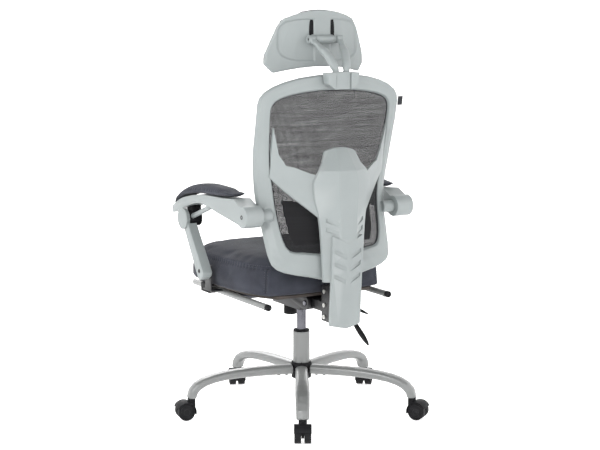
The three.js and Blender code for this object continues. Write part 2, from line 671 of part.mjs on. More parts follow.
// The spine's body: a hump at the top, sloping flanks, and a groove that takes the cover.
const SPINE_REACH = 186 * widen;    // half the spread of its two arms
function spineGeometry() {
  const half = smooth([62, 66, 69, 72, 77, 88, 92, 70, 50]);
  const depth = smooth([38, 40, 42, 44, 46, 48, 46, 30, 14]);
  const body = block(6, 2, 12, (v) => {
    const t = (v.z + 1) / 2;
    const z = THREE.MathUtils.lerp(SPINE_LOW_Z, SPINE_TOP_Z, t);
    const x = v.x * half(t);
    const lean = Math.max(0, Math.abs(v.x) - 0.34) / 0.66;
    const rear = ridge(z) - lean * depth(t) * 0.8;
    const front = ridge(z) - depth(t);
    const drop = t > 0.9 ? 12 * v.x * v.x : 0;
    return [x, THREE.MathUtils.lerp(front, Math.max(rear, front + 8), (v.y + 1) / 2), z - drop];
  });
  const top = smooth([728, 730, 733, 744, 755, 768, 862]);
  const low = smooth([578, 601, 625, 648, 671, 695, 722]);
  const arm = (side) => block(8, 1, 2, (v) => {
    const t = (v.x + 1) / 2;
    const out = THREE.MathUtils.lerp(40, SPINE_REACH, t);
    const z = drawnHeight(THREE.MathUtils.lerp(low(t), top(t), (v.z + 1) / 2));
    const root = ridge(drawnHeight(680)) - 14;
    const rear = THREE.MathUtils.lerp(root, backY(SPINE_REACH, z) + 1, Math.min(1, t * 1.02));
    return [side * out, rear - ((1 - v.y) / 2) * SPINE_ARM_THICKNESS, z];
  });
  const joined = join(body, arm(1), arm(-1));
  return cut(joined, coverGeometry(GAP), frameClearance());
}

// The frame grown by the gap, which the spine's arms butt against.
function frameClearance() {
  const ring = new THREE.TorusGeometry(2, 1, 4, FRAME_STATIONS);
  const uv = ring.attributes.uv.clone();
  const p = ring.attributes.position;
  for (let i = 0; i < p.count; i += 1) {
    const outer = outerCurve.getPoint(uv.getX(i) % 1);
    const inner = innerCurve.getPoint(uv.getX(i) % 1);
    const angle = (uv.getY(i) + 0.125) * Math.PI * 2;
    const across = Math.cos(angle) > 0 ? 1 : -GAP / 40;
    const x = THREE.MathUtils.lerp(inner.x, outer.x, across);
    const z = THREE.MathUtils.lerp(inner.z, outer.z, across);
    const depth = Math.sin(angle) > 0 ? GAP : -FRAME_DEPTH - GAP;
    p.setXYZ(i, x, backY(x, z) + depth, z);
  }
  return ring;
}

add('spine_cover', coverGeometry(0), greyPlastic);
add('back_spine', spineGeometry(), greyPlastic);

// The bracket bolts to the cover's front and turns on the pivot shaft.
function bracketGeometry() {
  const half = BRACKET_HALF_WIDTH;
  const rearZ = COVER_LOW_Z + 12;
  const upright = box(-half, half, BACK_PLANE_Y - 49, BACK_PLANE_Y + 17, rearZ, BACK_LOW_Z - 14);
  const web = box(-half + 6, half - 6, BACK_PLANE_Y - 45, BACK_PLANE_Y + 11, rearZ - 1, BACK_LOW_Z - 24);
  const tongue = box(-half, half, BACK_PIVOT_Y, BACK_PLANE_Y - 43, BACK_PIVOT_Z - 14, BACK_PIVOT_Z + 14);
  const eye = rodAlongX(17, -half, half, BACK_PIVOT_Y, BACK_PIVOT_Z);
  return cut(
    join(cut(upright, web), tongue, eye),
    rodAlongX(PIVOT_RADIUS + GAP, -half * 2, half * 2, BACK_PIVOT_Y, BACK_PIVOT_Z));
}

add('back_bracket', bracketGeometry(), blackSteel);

// ---- headrest -----------------------------------------------------------------------

const headHalf = smooth([141, 162, 160, 151, 141, 130, 112]);

// Rear face of the headrest shell across its width.
const headRearY = (x) => HEADREST_PIVOT_Y - 11 - 45 * (x / 160) ** 2;

function headPlace(u, v) {
  const t = (v + 1) / 2;
  const x = u * headHalf(t);
  const low = HEADREST_LOW_Z - 18 * u * u;
  const top = HEADREST_TOP_Z - 24 * u * u;
  return [x, THREE.MathUtils.lerp(low, top, t)];
}

// The shell has a lug on its rear face between the fork's two ends.
const shellBack = block(8, 1, 6, (v) => {
  const [x, z] = headPlace(v.x, v.z);
  return [x, headRearY(x) - ((1 - v.y) / 2) * SHELL_THICKNESS, z];
});
const shellLug = join(
  rodAlongX(11, -FORK_LUG_X + 11, FORK_LUG_X - 11, HEADREST_PIVOT_Y, HEADREST_PIVOT_Z),
  box(-FORK_LUG_X + 11, FORK_LUG_X - 11, headRearY(FORK_LUG_X) - SHELL_THICKNESS / 2,
    HEADREST_PIVOT_Y, HEADREST_PIVOT_Z - 11, HEADREST_PIVOT_Z + 11));
const PIN_RADIUS = 4;
const headPin = (grow) => rodAlongX(PIN_RADIUS + grow, -FORK_LUG_X - 8 - grow * 40,
  FORK_LUG_X + 8 + grow * 40, HEADREST_PIVOT_Y, HEADREST_PIVOT_Z, 12);
add('headrest_shell', cut(join(shellBack, shellLug), headPin(GAP)), greyPlastic);
add('headrest_pin', headPin(0), blackSteel);

add('headrest_pad', block(8, 2, 6, (v) => {
  const [x, z] = headPlace(v.x, v.z);
  const edge = Math.max(Math.abs(v.x) ** 5, Math.abs(v.z) ** 5);
  const front = HEAD_PAD_THICKNESS * (1 - 0.5 * edge);
  return [x, headRearY(x) - SHELL_THICKNESS - PAD_GAP - ((1 - v.y) / 2) * front, z];
}), cloth);

// The fork: a stem in the block, and two arms up to the pin.
const STEM_HALF = 25;
const STEM_FRONT_Y = BACK_PLANE_Y - 3;
const STEM_REAR_Y = STEM_FRONT_Y + 18;
const blockLowZ = BACK_TOP_Z - 44;
const blockTopZ = BACK_TOP_Z + 4;
function forkGeometry() {
  const arm = (side) => {
    const path = new THREE.QuadraticBezierCurve3(
      new THREE.Vector3(side * 14, (STEM_FRONT_Y + STEM_REAR_Y) / 2, blockTopZ - 14),
      new THREE.Vector3(side * 24, STEM_REAR_Y - 12, HEADREST_PIVOT_Z - 42),
      new THREE.Vector3(side * FORK_LUG_X, HEADREST_PIVOT_Y, HEADREST_PIVOT_Z));
    return loft(8, 6, 0.8, (t, c, s) => {
      const at = path.getPoint(t);
      const along = path.getTangent(t);
      const up = new THREE.Vector3(1, 0, 0).cross(along).normalize();
      return [at.x + c * 9, at.y + up.y * s * 7, at.z + up.z * s * 7];
    });
  };
  const boss = (side) => rodAlongX(12, side * (FORK_LUG_X - 11 + RUNNING_GAP),
    side * (FORK_LUG_X + 9), HEADREST_PIVOT_Y, HEADREST_PIVOT_Z);
  const stem = box(-STEM_HALF, STEM_HALF, STEM_FRONT_Y, STEM_REAR_Y, blockLowZ + 1, blockTopZ + 2);
  return cut(join(stem, arm(1), arm(-1), boss(1), boss(-1)),
    headPin(GAP),
    box(-FORK_LUG_X + 11 - RUNNING_GAP, FORK_LUG_X - 11 + RUNNING_GAP,
      HEADREST_PIVOT_Y - 73, HEADREST_PIVOT_Y + 17, HEADREST_PIVOT_Z - 44, HEADREST_PIVOT_Z + 36));
}
add('headrest_fork', forkGeometry(), greyPlastic);

// The block: a shield on the top rail with an upright channel for the stem.
function blockGeometry() {
  const shield = new THREE.Shape(points([
    [-BLOCK_HALF_WIDTH, blockTopZ], [-BLOCK_HALF_WIDTH + 4, blockLowZ + 16], [-24, blockLowZ],
    [24, blockLowZ], [BLOCK_HALF_WIDTH - 4, blockLowZ + 16], [BLOCK_HALF_WIDTH, blockTopZ],
  ]));
  const plate = new THREE.ExtrudeGeometry(shield, { depth: 30, bevelEnabled: false })
    .rotateX(Math.PI / 2).translate(0, STEM_REAR_Y + 4, 0);
  const channel = box(-STEM_HALF - RUNNING_GAP, STEM_HALF + RUNNING_GAP,
    STEM_FRONT_Y - RUNNING_GAP, STEM_REAR_Y + 8, blockLowZ - 50, blockTopZ + 50);
  return cut(plate, channel, frameClearance());
}
add('headrest_block', blockGeometry(), greyPlastic);

// ---- arms ---------------------------------------------------------------------------

// The beam's upper and lower edges, forwards and back, measured from its bolt.
const ARM_TOP = [[-452, -19], [-392, 10], [-310, 29], [-230, 38], [-166, 40], [-104, 42], [-48, 46]];
const ARM_LOW = [[-88, -14], [-154, -4], [-205, 5], [-257, 10], [-304, 4], [-379, -17], [-447, -38]];

function beamShape() {
  const shape = new THREE.Shape();
  shape.moveTo(...ARM_TOP[0]);
  shape.splineThru(points(ARM_TOP.slice(1)));
  shape.absarc(0, 0, ARM_HOUSING_RADIUS, Math.PI * 0.62, -Math.PI * 0.72, true);
  shape.splineThru(points(ARM_LOW));
  return shape;
}

const neckHalf = DRUM_RADIUS - 8;
const drumNeck = box(ARM_INNER_X + 12, ARM_OUTER_X - 12, ARM_HUB_Y - neckHalf, ARM_HUB_Y + neckHalf,
  ARM_HUB_Z, ARM_PIVOT_Z + 1);
const beamRaw = plateAcrossX(beamShape(), ARM_INNER_X, ARM_OUTER_X, 5)
  .translate(0, ARM_PIVOT_Y, ARM_PIVOT_Z);
const toDrum = new THREE.Vector2(ARM_HUB_Y + 142, ARM_HUB_Z + 50);
const brace = rod(7.5,
  new THREE.Vector3(ARM_OUTER_X - 12, ARM_HUB_Y, ARM_HUB_Z),
  new THREE.Vector3(ARM_OUTER_X - 12, toDrum.x, toDrum.y), 10);
const drum = rodAlongX(DRUM_RADIUS, ARM_INNER_X + 12, ARM_OUTER_X - RUNNING_GAP, ARM_HUB_Y, ARM_HUB_Z, 24);
const drumClearance = rodAlongX(DRUM_RADIUS + GAP, ARM_INNER_X, ARM_OUTER_X + 9, ARM_HUB_Y, ARM_HUB_Z, 24);
addPair('arm_beam', cut(join(beamRaw, brace), drumClearance), greyPlastic);
addPair('arm_drum', cut(join(drum, drumNeck),
  beamRaw.clone().translate(0, 0, -GAP), beamRaw), blackPlastic);

// The padded top follows the beam's arched upper edge.
const padTop = smooth([5, 38, 56, 65, 68, 67, 64, 51]);
const padLow = smooth([-16, 16, 32, 39, 41, 43, 46, 48]);
addPair('arm_pad', block(4, 12, 2, (v) => {
  const t = (v.y + 1) / 2;
  const half = 37 * (1 - 0.45 * Math.abs(v.y) ** 8);
  const bulge = 1 - 0.05 * v.z * v.z;
  const x = (ARM_INNER_X + ARM_OUTER_X) / 2 + 1 + v.x * half * bulge;
  const y = ARM_PIVOT_Y + THREE.MathUtils.lerp(-450, -54, t);
  const low = padLow(t) + 1.5;
  const top = Math.max(padTop(t) - 9 * Math.abs(v.x) ** 3, low + 8);
  return [x, y, ARM_PIVOT_Z + THREE.MathUtils.lerp(low, top, (v.z + 1) / 2)];
}), cloth);

// The strut turns on a bolt at the seat's side; its head is a plate beside the arm's drum.
function strutGeometry() {
  const outer = ARM_OUTER_X + 8;
  const along = new THREE.Vector2(STRUT_FOOT_Y - ARM_HUB_Y, STRUT_FOOT_Z - ARM_HUB_Z).normalize();
  const side = new THREE.Vector2(-along.y, along.x);
  const at = (from, alongBy, sideBy) => [
    from[0] + along.x * alongBy + side.x * sideBy, from[1] + along.y * alongBy + side.y * sideBy];
  const hub = [ARM_HUB_Y, ARM_HUB_Z];
  const foot = [STRUT_FOOT_Y, STRUT_FOOT_Z];
  const bar = new THREE.Shape(points([
    at(hub, 12, -14), at(hub, 12, 16), at(foot, -20, 21), at(foot, 16, 21),
    at(foot, 24, 12), at(foot, 24, -10), at(foot, 14, -18), at(foot, -20, -18),
  ]));
  const head = rodAlongX(HUB_CAP_RADIUS - 3, ARM_OUTER_X + RUNNING_GAP / 2, outer, ARM_HUB_Y, ARM_HUB_Z, 24);
  const room = rodAlongX(DRUM_RADIUS + STRUT_HEAD_CLEARANCE, STRUT_INNER_X - 20,
    ARM_OUTER_X + RUNNING_GAP / 2, ARM_HUB_Y, ARM_HUB_Z, 24);
  const bolt = rodAlongX(4.5, STRUT_INNER_X - 20, outer + 9, STRUT_FOOT_Y, STRUT_FOOT_Z, 12);
  return cut(join(cut(plateAcrossX(bar, STRUT_INNER_X, outer), room), head), bolt);
}
addPair('strut', strutGeometry(), greyPlastic);
addPair('hub_cap', rodAlongX(HUB_CAP_RADIUS, ARM_OUTER_X + 8 + GAP, ARM_OUTER_X + 13,
  ARM_HUB_Y, ARM_HUB_Z, 24), greyPlastic);

// A steel strap under the seat pan, turned up beside the cushion to hold the strut.
function strutBracketGeometry() {
  const inner = STRUT_INNER_X - RUNNING_GAP - BRACKET_WALL;
  const strap = box(RAIL_X + 18, STRUT_INNER_X - RUNNING_GAP, STRUT_FOOT_Y - 34, STRUT_FOOT_Y + 26,
    panLowZ - BRACKET_WALL - GAP, panLowZ - GAP);
  const tab = box(inner, STRUT_INNER_X - RUNNING_GAP, STRUT_FOOT_Y - 22, STRUT_FOOT_Y + 18,
    panLowZ - BRACKET_WALL - GAP, STRUT_FOOT_Z + 16);
  const bolt = rodAlongX(4, inner + 1, STRUT_INNER_X + 20, STRUT_FOOT_Y, STRUT_FOOT_Z, 12);
  return join(strap, tab, bolt);
}
addPair('strut_bracket', strutBracketGeometry(), blackSteel);

// ---- the whole chair, standing on the floor about the middle of its footprint --------

const extent = new THREE.Box3().setFromObject(chair);
chair.position.set(
  -Math.round((extent.min.x + extent.max.x) / 2),
  -Math.round((extent.min.y + extent.max.y) / 2),
  0);

export default chair;
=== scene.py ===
"""Looks of a reclining mesh-back office chair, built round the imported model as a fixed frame.

The chair stands on the floor at z = 0 and its sitter faces -Y. The sections follow the order
in which the chair is put together, from the star base up to the headrest and the arms.
"""
import json
import math

import bpy
from mathutils import Matrix, Vector
from mathutils.bvhtree import BVHTree


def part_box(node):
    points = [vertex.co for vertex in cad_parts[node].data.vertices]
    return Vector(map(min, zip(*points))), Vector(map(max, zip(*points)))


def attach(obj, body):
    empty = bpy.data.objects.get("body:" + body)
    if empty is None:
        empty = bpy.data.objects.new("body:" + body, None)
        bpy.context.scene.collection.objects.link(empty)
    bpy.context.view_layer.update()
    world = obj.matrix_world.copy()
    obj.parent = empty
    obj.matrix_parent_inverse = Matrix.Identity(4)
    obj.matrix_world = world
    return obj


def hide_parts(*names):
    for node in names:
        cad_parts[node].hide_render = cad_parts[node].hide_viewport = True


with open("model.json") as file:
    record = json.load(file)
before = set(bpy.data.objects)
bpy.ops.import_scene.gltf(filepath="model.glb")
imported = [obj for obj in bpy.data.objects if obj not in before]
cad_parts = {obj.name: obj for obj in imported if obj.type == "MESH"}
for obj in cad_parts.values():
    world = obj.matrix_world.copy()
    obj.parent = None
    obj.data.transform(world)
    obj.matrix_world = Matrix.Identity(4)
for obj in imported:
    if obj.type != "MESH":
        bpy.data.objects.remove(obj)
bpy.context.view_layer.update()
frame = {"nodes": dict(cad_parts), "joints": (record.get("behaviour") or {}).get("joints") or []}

# ---- camera, floor and light ----
# The camera stands behind the sitter's left shoulder, a little above the headrest. The
# floor is a wide pale dish with a soft rim, and three large soft lamps light the chair.

column = (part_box("gas_piston")[0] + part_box("gas_piston")[1]) / 2
column.z = 0


def from_column(x, y, z):
    """A point measured from the lift column's axis at floor level, in metres."""
    return column + Vector((x, y, z))


camera_dip = 8.37
camera_heading = 150
camera = bpy.data.objects.new("camera", bpy.data.cameras.new("camera"))
bpy.context.scene.collection.objects.link(camera)
camera.location = from_column(2.1790, 3.7659, 1.1974)
camera.rotation_euler = (math.radians(90 - camera_dip), 0, math.radians(camera_heading))
camera.data.sensor_width = 36
camera.data.lens = 89.4
bpy.context.scene.camera = camera


def lamp(name, place, size, power):
    """A square soft lamp that looks at the middle of the chair."""
    light = bpy.data.objects.new(name, bpy.data.lights.new(name, "AREA"))
    light.data.shape = "SQUARE"
    light.data.size = size
    light.data.energy = power
    light.location = from_column(*place)
    light.rotation_mode = "QUATERNION"
    light.rotation_quaternion = (from_column(0, 0, 0.6) - light.location).to_track_quat("-Z", "Y")
    bpy.context.scene.collection.objects.link(light)


lamp("key_lamp", (3.4, 2.4, 2.6), 1.4, 95)
lamp("fill_lamp", (-3.0, 3.2, 2.6), 2.4, 30)
lamp("front_lamp", (-0.8, -3.6, 2.8), 2.4, 70)

world = bpy.data.worlds.new("studio")
bpy.context.scene.world = world
world.use_nodes = True
world.node_tree.nodes["Background"].inputs["Color"].default_value = (1, 1, 1, 1)
world.node_tree.nodes["Background"].inputs["Strength"].default_value = 0.42
bpy.context.scene.view_settings.view_transform = "Standard"


def only(piece):
    """Leaves one piece selected and active, with nothing else selected."""
    bpy.ops.object.select_all(action="DESELECT")
    piece.select_set(True)
    bpy.context.view_layer.objects.active = piece


bpy.ops.object.select_all(action="DESELECT")
bpy.ops.mesh.primitive_circle_add(vertices=96, radius=7, fill_type="NGON",
                                  location=(0, 0, -0.001))
floor = bpy.context.object
floor.name = "floor"
bpy.ops.object.mode_set(mode="EDIT")
bpy.ops.mesh.select_mode(type="EDGE")
bpy.ops.mesh.select_all(action="SELECT")
for widen, rise in ((1.10, 0.10), (1.08, 0.35), (1.05, 0.8), (1.02, 1.4), (1.0, 5.0)):
    bpy.ops.mesh.extrude_edges_move(TRANSFORM_OT_translate={"value": (0, 0, rise)})
    bpy.ops.transform.resize(value=(widen, widen, 1), center_override=(0, 0, 0))
bpy.ops.object.mode_set(mode="OBJECT")
bpy.ops.object.shade_smooth()
floor_paint = bpy.data.materials.new("floor_paint")
floor_paint.use_nodes = True
floor_shader = floor_paint.node_tree.nodes["Principled BSDF"]
floor_shader.inputs["Base Color"].default_value = (0.9, 0.9, 0.9, 1)
floor_shader.inputs["Roughness"].default_value = 0.75
floor_shader.inputs["Emission Color"].default_value = (1, 1, 1, 1)
floor_shader.inputs["Emission Strength"].default_value = 0.65
floor.data.materials.append(floor_paint)

# ---- star base ----
# Five pressed steel legs with painted skins run level out of a black hub and bend down to
# the casters. One leg is smoothed over its frame solid and copied round the column.


def material(name, color, roughness, metallic=0.0):
    """A new material with its plain values on the shader."""
    made = bpy.data.materials.new(name)
    made.use_nodes = True
    shader = made.node_tree.nodes["Principled BSDF"]
    shader.inputs["Base Color"].default_value = (*color, 1)
    shader.inputs["Roughness"].default_value = roughness
    shader.inputs["Metallic"].default_value = metallic
    return made


def add_node(made, kind, **settings):
    """Adds a shader node; a setting is a property, or an input's value by the input's name."""
    node = made.node_tree.nodes.new("ShaderNode" + kind)
    for key, value in settings.items():
        name = key.replace("_", " ").title()
        if name in node.inputs:
            node.inputs[name].default_value = value
        else:
            setattr(node, key, value)
    return node


def grain(made, color, spread, scale, bump, patch=9.0):
    """Moulded or sprayed skin: cloudy tone, a fine grain in the surface, and uneven gloss."""
    link = made.node_tree.links.new
    shader = made.node_tree.nodes["Principled BSDF"]
    place = add_node(made, "TexCoord")
    cloud = add_node(made, "TexNoise", scale=patch, detail=5.0)
    fine = add_node(made, "TexNoise", scale=scale, detail=2.0)
    tone = add_node(made, "ValToRGB")
    tone.color_ramp.elements[0].position = 0.3
    tone.color_ramp.elements[1].position = 0.7
    tone.color_ramp.elements[0].color = (*[c * (1 - spread) for c in color], 1)
    tone.color_ramp.elements[1].color = (*[min(1, c * (1 + spread)) for c in color], 1)
    gloss = add_node(made, "MapRange")
    gloss.inputs["To Min"].default_value = shader.inputs["Roughness"].default_value - 0.06
    gloss.inputs["To Max"].default_value = shader.inputs["Roughness"].default_value + 0.08
    relief = add_node(made, "Bump", strength=bump, distance=0.0004)
    link(place.outputs["Object"], cloud.inputs["Vector"])
    link(place.outputs["Object"], fine.inputs["Vector"])
    link(cloud.outputs["Fac"], tone.inputs["Fac"])
    link(cloud.outputs["Fac"], gloss.inputs["Value"])
    link(fine.outputs["Fac"], relief.inputs["Height"])
    link(gloss.outputs["Result"], shader.inputs["Roughness"])
    link(relief.outputs["Normal"], shader.inputs["Normal"])
    link(tone.outputs["Color"], shader.inputs["Base Color"])
    return tone


def wear_edges(made, tone, color, amount):
    """Blends a rubbed tone into the colour on sharp outer edges."""
    link = made.node_tree.links.new
    shader = made.node_tree.nodes["Principled BSDF"]
    shape = add_node(made, "NewGeometry")
    edge = add_node(made, "MapRange")
    edge.inputs["From Min"].default_value = 0.53
    edge.inputs["From Max"].default_value = 0.62
    edge.inputs["To Max"].default_value = amount
    blend = add_node(made, "Mix", data_type="RGBA")
    colors = [socket for socket in blend.inputs if socket.type == "RGBA"]
    colors[1].default_value = (*color, 1)
    link(shape.outputs["Pointiness"], edge.inputs["Value"])
    link(edge.outputs["Result"], blend.inputs["Factor"])
    link(tone.outputs["Color"], colors[0])
    blended, = [socket for socket in blend.outputs if socket.type == "RGBA"]
    link(blended, shader.inputs["Base Color"])


steel_paint = material("sprayed_steel", (0.155, 0.16, 0.158), 0.34, 0.1)
steel_paint.node_tree.nodes["Principled BSDF"].inputs["Coat Weight"].default_value = 0.25
wear_edges(steel_paint, grain(steel_paint, (0.155, 0.16, 0.158), 0.05, 420, 0.12),
           (0.20, 0.205, 0.20), 0.5)

black_plastic = material("black_nylon", (0.005, 0.005, 0.006), 0.6)
black_plastic.node_tree.nodes["Principled BSDF"].inputs["Specular IOR Level"].default_value = 0.14
wear_edges(black_plastic, grain(black_plastic, (0.005, 0.005, 0.006), 0.35, 900, 0.2),
           (0.018, 0.018, 0.020), 0.5)

zinc = material("zinc_screw", (0.62, 0.62, 0.60), 0.3, 1.0)
grain(zinc, (0.62, 0.62, 0.60), 0.12, 700, 0.1, patch=60)


def apply_modifiers(piece):
    """Applies a piece's modifiers in their order."""
    only(piece)
    for modifier in list(piece.modifiers):
        bpy.ops.object.modifier_apply(modifier=modifier.name)


def cast(node, name):
    """A free copy of a frame solid, with its loose triangles merged and its flats made whole."""
    piece = bpy.data.objects.new(name, frame["nodes"][node].data.copy())
    bpy.context.scene.collection.objects.link(piece)
    piece.data.materials.clear()
    only(piece)
    bpy.ops.object.mode_set(mode="EDIT")
    bpy.ops.mesh.select_all(action="SELECT")
    bpy.ops.mesh.remove_doubles(threshold=0.00002)
    bpy.ops.mesh.dissolve_limited(angle_limit=math.radians(0.8))
    bpy.ops.object.mode_set(mode="OBJECT")
    return piece


def rounded(piece, width, segments=2, angle=28, shade=38):
    """Rounds the sharp edges of a hard piece, as its mould does."""
    edge = piece.modifiers.new("edges", "BEVEL")
    edge.width = width
    edge.segments = segments
    edge.limit_method = "ANGLE"
    edge.angle_limit = math.radians(angle)
    edge.use_clamp_overlap = True
    apply_modifiers(piece)
    bpy.ops.object.shade_smooth_by_angle(angle=math.radians(shade))
    return piece


def softened(piece, cell, rounds):
    """Takes a formed piece to an even mesh and eases its facets into one smooth skin."""
    even = piece.modifiers.new("even", "REMESH")
    even.mode = "VOXEL"
    even.voxel_size = cell
    even.use_smooth_shade = True
    ease = piece.modifiers.new("ease", "SMOOTH")
    ease.factor = 0.5
    ease.iterations = rounds
    apply_modifiers(piece)
    bpy.ops.object.shade_smooth()
    return piece


def fit(piece, body, finish, slot, *nodes):
    """Gives a finished piece its material and hangs it on the body that carries it; slot is not
    used.
    """
    piece.data.materials.clear()
    piece.data.materials.append(finish)
    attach(piece, body)
    if nodes:
        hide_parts(*nodes)
    return piece


def copied(piece, name, matrix):
    """A copy of a piece with its own mesh, carried by a matrix."""
    twin = bpy.data.objects.new(name, piece.data.copy())
    bpy.context.scene.collection.objects.link(twin)
    twin.data.transform(matrix)
    if matrix.determinant() < 0:
        twin.data.flip_normals()
    return twin


def turned_round(centre, angle):
    """The matrix of a turn about an upright axis through centre."""
    return (Matrix.Translation(centre) @ Matrix.Rotation(angle, 4, "Z")
            @ Matrix.Translation(-Vector(centre)))


def joined(parts, name):
    """Joins finished parts into one piece."""
    bpy.ops.object.select_all(action="DESELECT")
    for part in parts:
        part.select_set(True)
    bpy.context.view_layer.objects.active = parts[0]
    bpy.ops.object.join()
    parts[0].name = name
    return parts[0]


def edit_faces(piece, wanted):
    """Goes into edit mode on the active piece with only its wanted faces selected."""
    bpy.ops.object.mode_set(mode="EDIT")
    bpy.ops.mesh.select_mode(type="FACE")
    bpy.ops.mesh.select_all(action="DESELECT")
    bpy.ops.object.mode_set(mode="OBJECT")
    for face in piece.data.polygons:
        face.select = wanted(face)
    bpy.ops.object.mode_set(mode="EDIT")


def screw_head(place, along, radius, height, sides=24):
    """A button head with a round socket, standing on place and pointing along."""
    bpy.ops.object.select_all(action="DESELECT")
    bpy.ops.mesh.primitive_cylinder_add(vertices=sides, radius=radius, depth=height)
    head = bpy.context.object
    head.data.transform(Matrix.Translation((0, 0, height / 2)))
    edit_faces(head, lambda face: face.normal.z > 0.9)
    bpy.ops.mesh.inset(thickness=radius * 0.22)
    bpy.ops.mesh.inset(thickness=radius * 0.3)
    bpy.ops.mesh.extrude_region_move(TRANSFORM_OT_translate={"value": (0, 0, -height * 0.6)})
    bpy.ops.object.mode_set(mode="OBJECT")
    rounded(head, radius * 0.09)
    turn = Vector(along).to_track_quat("Z", "Y").to_matrix().to_4x4()
    head.data.transform(Matrix.Translation(place) @ turn)
    return head


def skin_path(piece, rays):
    """Where each ray, a start and a direction, meets a piece: a list of points and normals."""
    tree = BVHTree.FromObject(piece, bpy.context.evaluated_depsgraph_get())
    met = [tree.ray_cast(start, Vector(direction).normalized()) for start, direction in rays]
    return [(hit[0], hit[1]) for hit in met if hit[0] is not None]


leg = softened(cast("base_leg_1", "star_leg_1"), cell=0.0024, rounds=8)
leg_spacing = 72
leg_screw_reaches = (0.047, 0.071)
hub_screw_reach = 0.0272
screw_sink = 0.0005
joint_of = {joint["name"]: joint for joint in frame["joints"]}
stem = Vector(joint_of["caster_1_swivel"]["pos_m"]) - column
leg_turn = math.atan2(stem.y, stem.x)
for i in range(1, 6):
    turn = turned_round(column, math.radians(leg_spacing * (i - 1)))
    piece = leg if i == 1 else copied(leg, f"star_leg_{i}", turn)
    fit(piece, "base", steel_paint, "painted_steel", f"base_leg_{i}")

hub = rounded(cast("base_hub", "star_hub"), 0.0016)
fit(hub, "base", black_plastic, "black_plastic", "base_hub")
leg_out = Vector((math.cos(leg_turn), math.sin(leg_turn), 0))
hub_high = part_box("base_hub")[1]
leg_screws = []
for i in range(5):
    direction = leg_turn + math.radians(leg_spacing * i)
    out = Vector((math.cos(direction), math.sin(direction), 0))
    for reach in leg_screw_reaches:
        (skin, _), = skin_path(leg, [(from_column(0, 0, 0) + leg_out * reach, (0, 0, 1))])
        leg_screws.append(screw_head(column + out * reach + Vector((0, 0, skin.z + screw_sink)),
                                     (0, 0, -1), radius=0.0045, height=0.003))
    top = column + out * hub_screw_reach
    leg_screws.append(screw_head((top.x, top.y, hub_high.z - screw_sink), (0, 0, 1),
                                 radius=0.0018, height=0.002, sides=12))
fit(joined(leg_screws, "star_screws"), "base", black_plastic, "black_plastic")

# ---- casters ----
# Each caster is a black nylon hood on a swivel stem with a pair of wheels. A wheel has a
# rounded tread and a dished face with a raised middle; one is made and copied ten times.

tread = material("caster_tread", (0.007, 0.007, 0.008), 0.65)
tread.node_tree.nodes["Principled BSDF"].inputs["Specular IOR Level"].default_value = 0.16
wear_edges(tread, grain(tread, (0.007, 0.007, 0.008), 0.4, 600, 0.25, patch=50),
           (0.025, 0.025, 0.025), 0.6)

wheel_radius = joint_of["caster_1_roll_a"]["pos_m"][2]
web_half = 0.0045
wheel_width = 0.019
face_steps = ((0.0045, 0), (0.0008, -0.0028), (0.0095, 0.0002), (0.0012, 0.0016))


def caster_wheel():
    """One wheel round the Y axis, its plain side at y = 0 and its dished face outwards."""
    bpy.ops.object.select_all(action="DESELECT")
    bpy.ops.mesh.primitive_cylinder_add(vertices=48, radius=wheel_radius, depth=wheel_width,
                                        rotation=(-math.pi / 2, 0, 0))
    wheel = bpy.context.object
    bpy.ops.object.transform_apply(location=False, rotation=True, scale=True)
    wheel.data.transform(Matrix.Translation((0, wheel_width / 2, 0)))
    edit_faces(wheel, lambda face: face.normal.y > 0.9)
    for narrow, move in face_steps:
        bpy.ops.mesh.inset(thickness=narrow)
        bpy.ops.transform.translate(value=(0, move, 0))
    bpy.ops.mesh.select_all(action="DESELECT")
    bpy.ops.mesh.select_mode(type="EDGE")
    bpy.ops.object.mode_set(mode="OBJECT")
    return rounded(wheel, 0.0012, segments=3, angle=40)


wheel = caster_wheel()
for i in range(1, 6):
    hood = rounded(cast(f"caster_{i}_hood", f"caster_hood_{i}"), 0.0007)
    fit(hood, f"caster_{i}", black_plastic, "black_plastic", f"caster_{i}_hood")
    for side, sign in (("a", 1), ("b", -1)):
        roll = joint_of[f"caster_{i}_roll_{side}"]
        across = Vector(roll["axis"]).normalized() * sign
        forward = across.cross(Vector((0, 0, 1)))
        turn = Matrix((forward, across, (0, 0, 1))).transposed().to_4x4()
        place = Matrix.Translation(Vector(roll["pos_m"]) + across * web_half)
        twin = copied(wheel, f"caster_wheel_{i}_{side}", place @ turn)
        fit(twin, f"caster_{i}_{side}", tread, "wheel_plastic", f"caster_{i}_wheel_{side}")
bpy.data.objects.remove(wheel)

# ---- gas lift ----
# A painted outer tube stands in the hub, with a black guide bush at its mouth and a ground
# steel piston that rises into the tilt mechanism.

ground_steel = material("ground_steel", (0.12, 0.12, 0.135), 0.24, 1.0)
grain(ground_steel, (0.12, 0.12, 0.135), 0.1, 500, 0.05, patch=30)

fit(rounded(cast("lower_column", "lift_tube"), 0.0012), "base", steel_paint, "painted_steel",
    "lower_column")
fit(rounded(cast("column_collar", "lift_bush"), 0.0008), "base", black_plastic, "black_plastic",
    "column_collar")
fit(rounded(cast("gas_piston", "lift_piston"), 0.001), "lift_column", ground_steel,
    "polished_steel", "gas_piston")

# ---- tilt mechanism ----
# A black enamelled steel tray under the seat holds the piston, the levers and the shaft that
# the back turns on. Four zinc screws from below hold its top plate to the seat's board.

enamel = material("black_enamel", (0.006, 0.006, 0.007), 0.45)
wear_edges(enamel, grain(enamel, (0.006, 0.006, 0.007), 0.3, 300, 0.15), (0.03, 0.03, 0.033), 0.5)

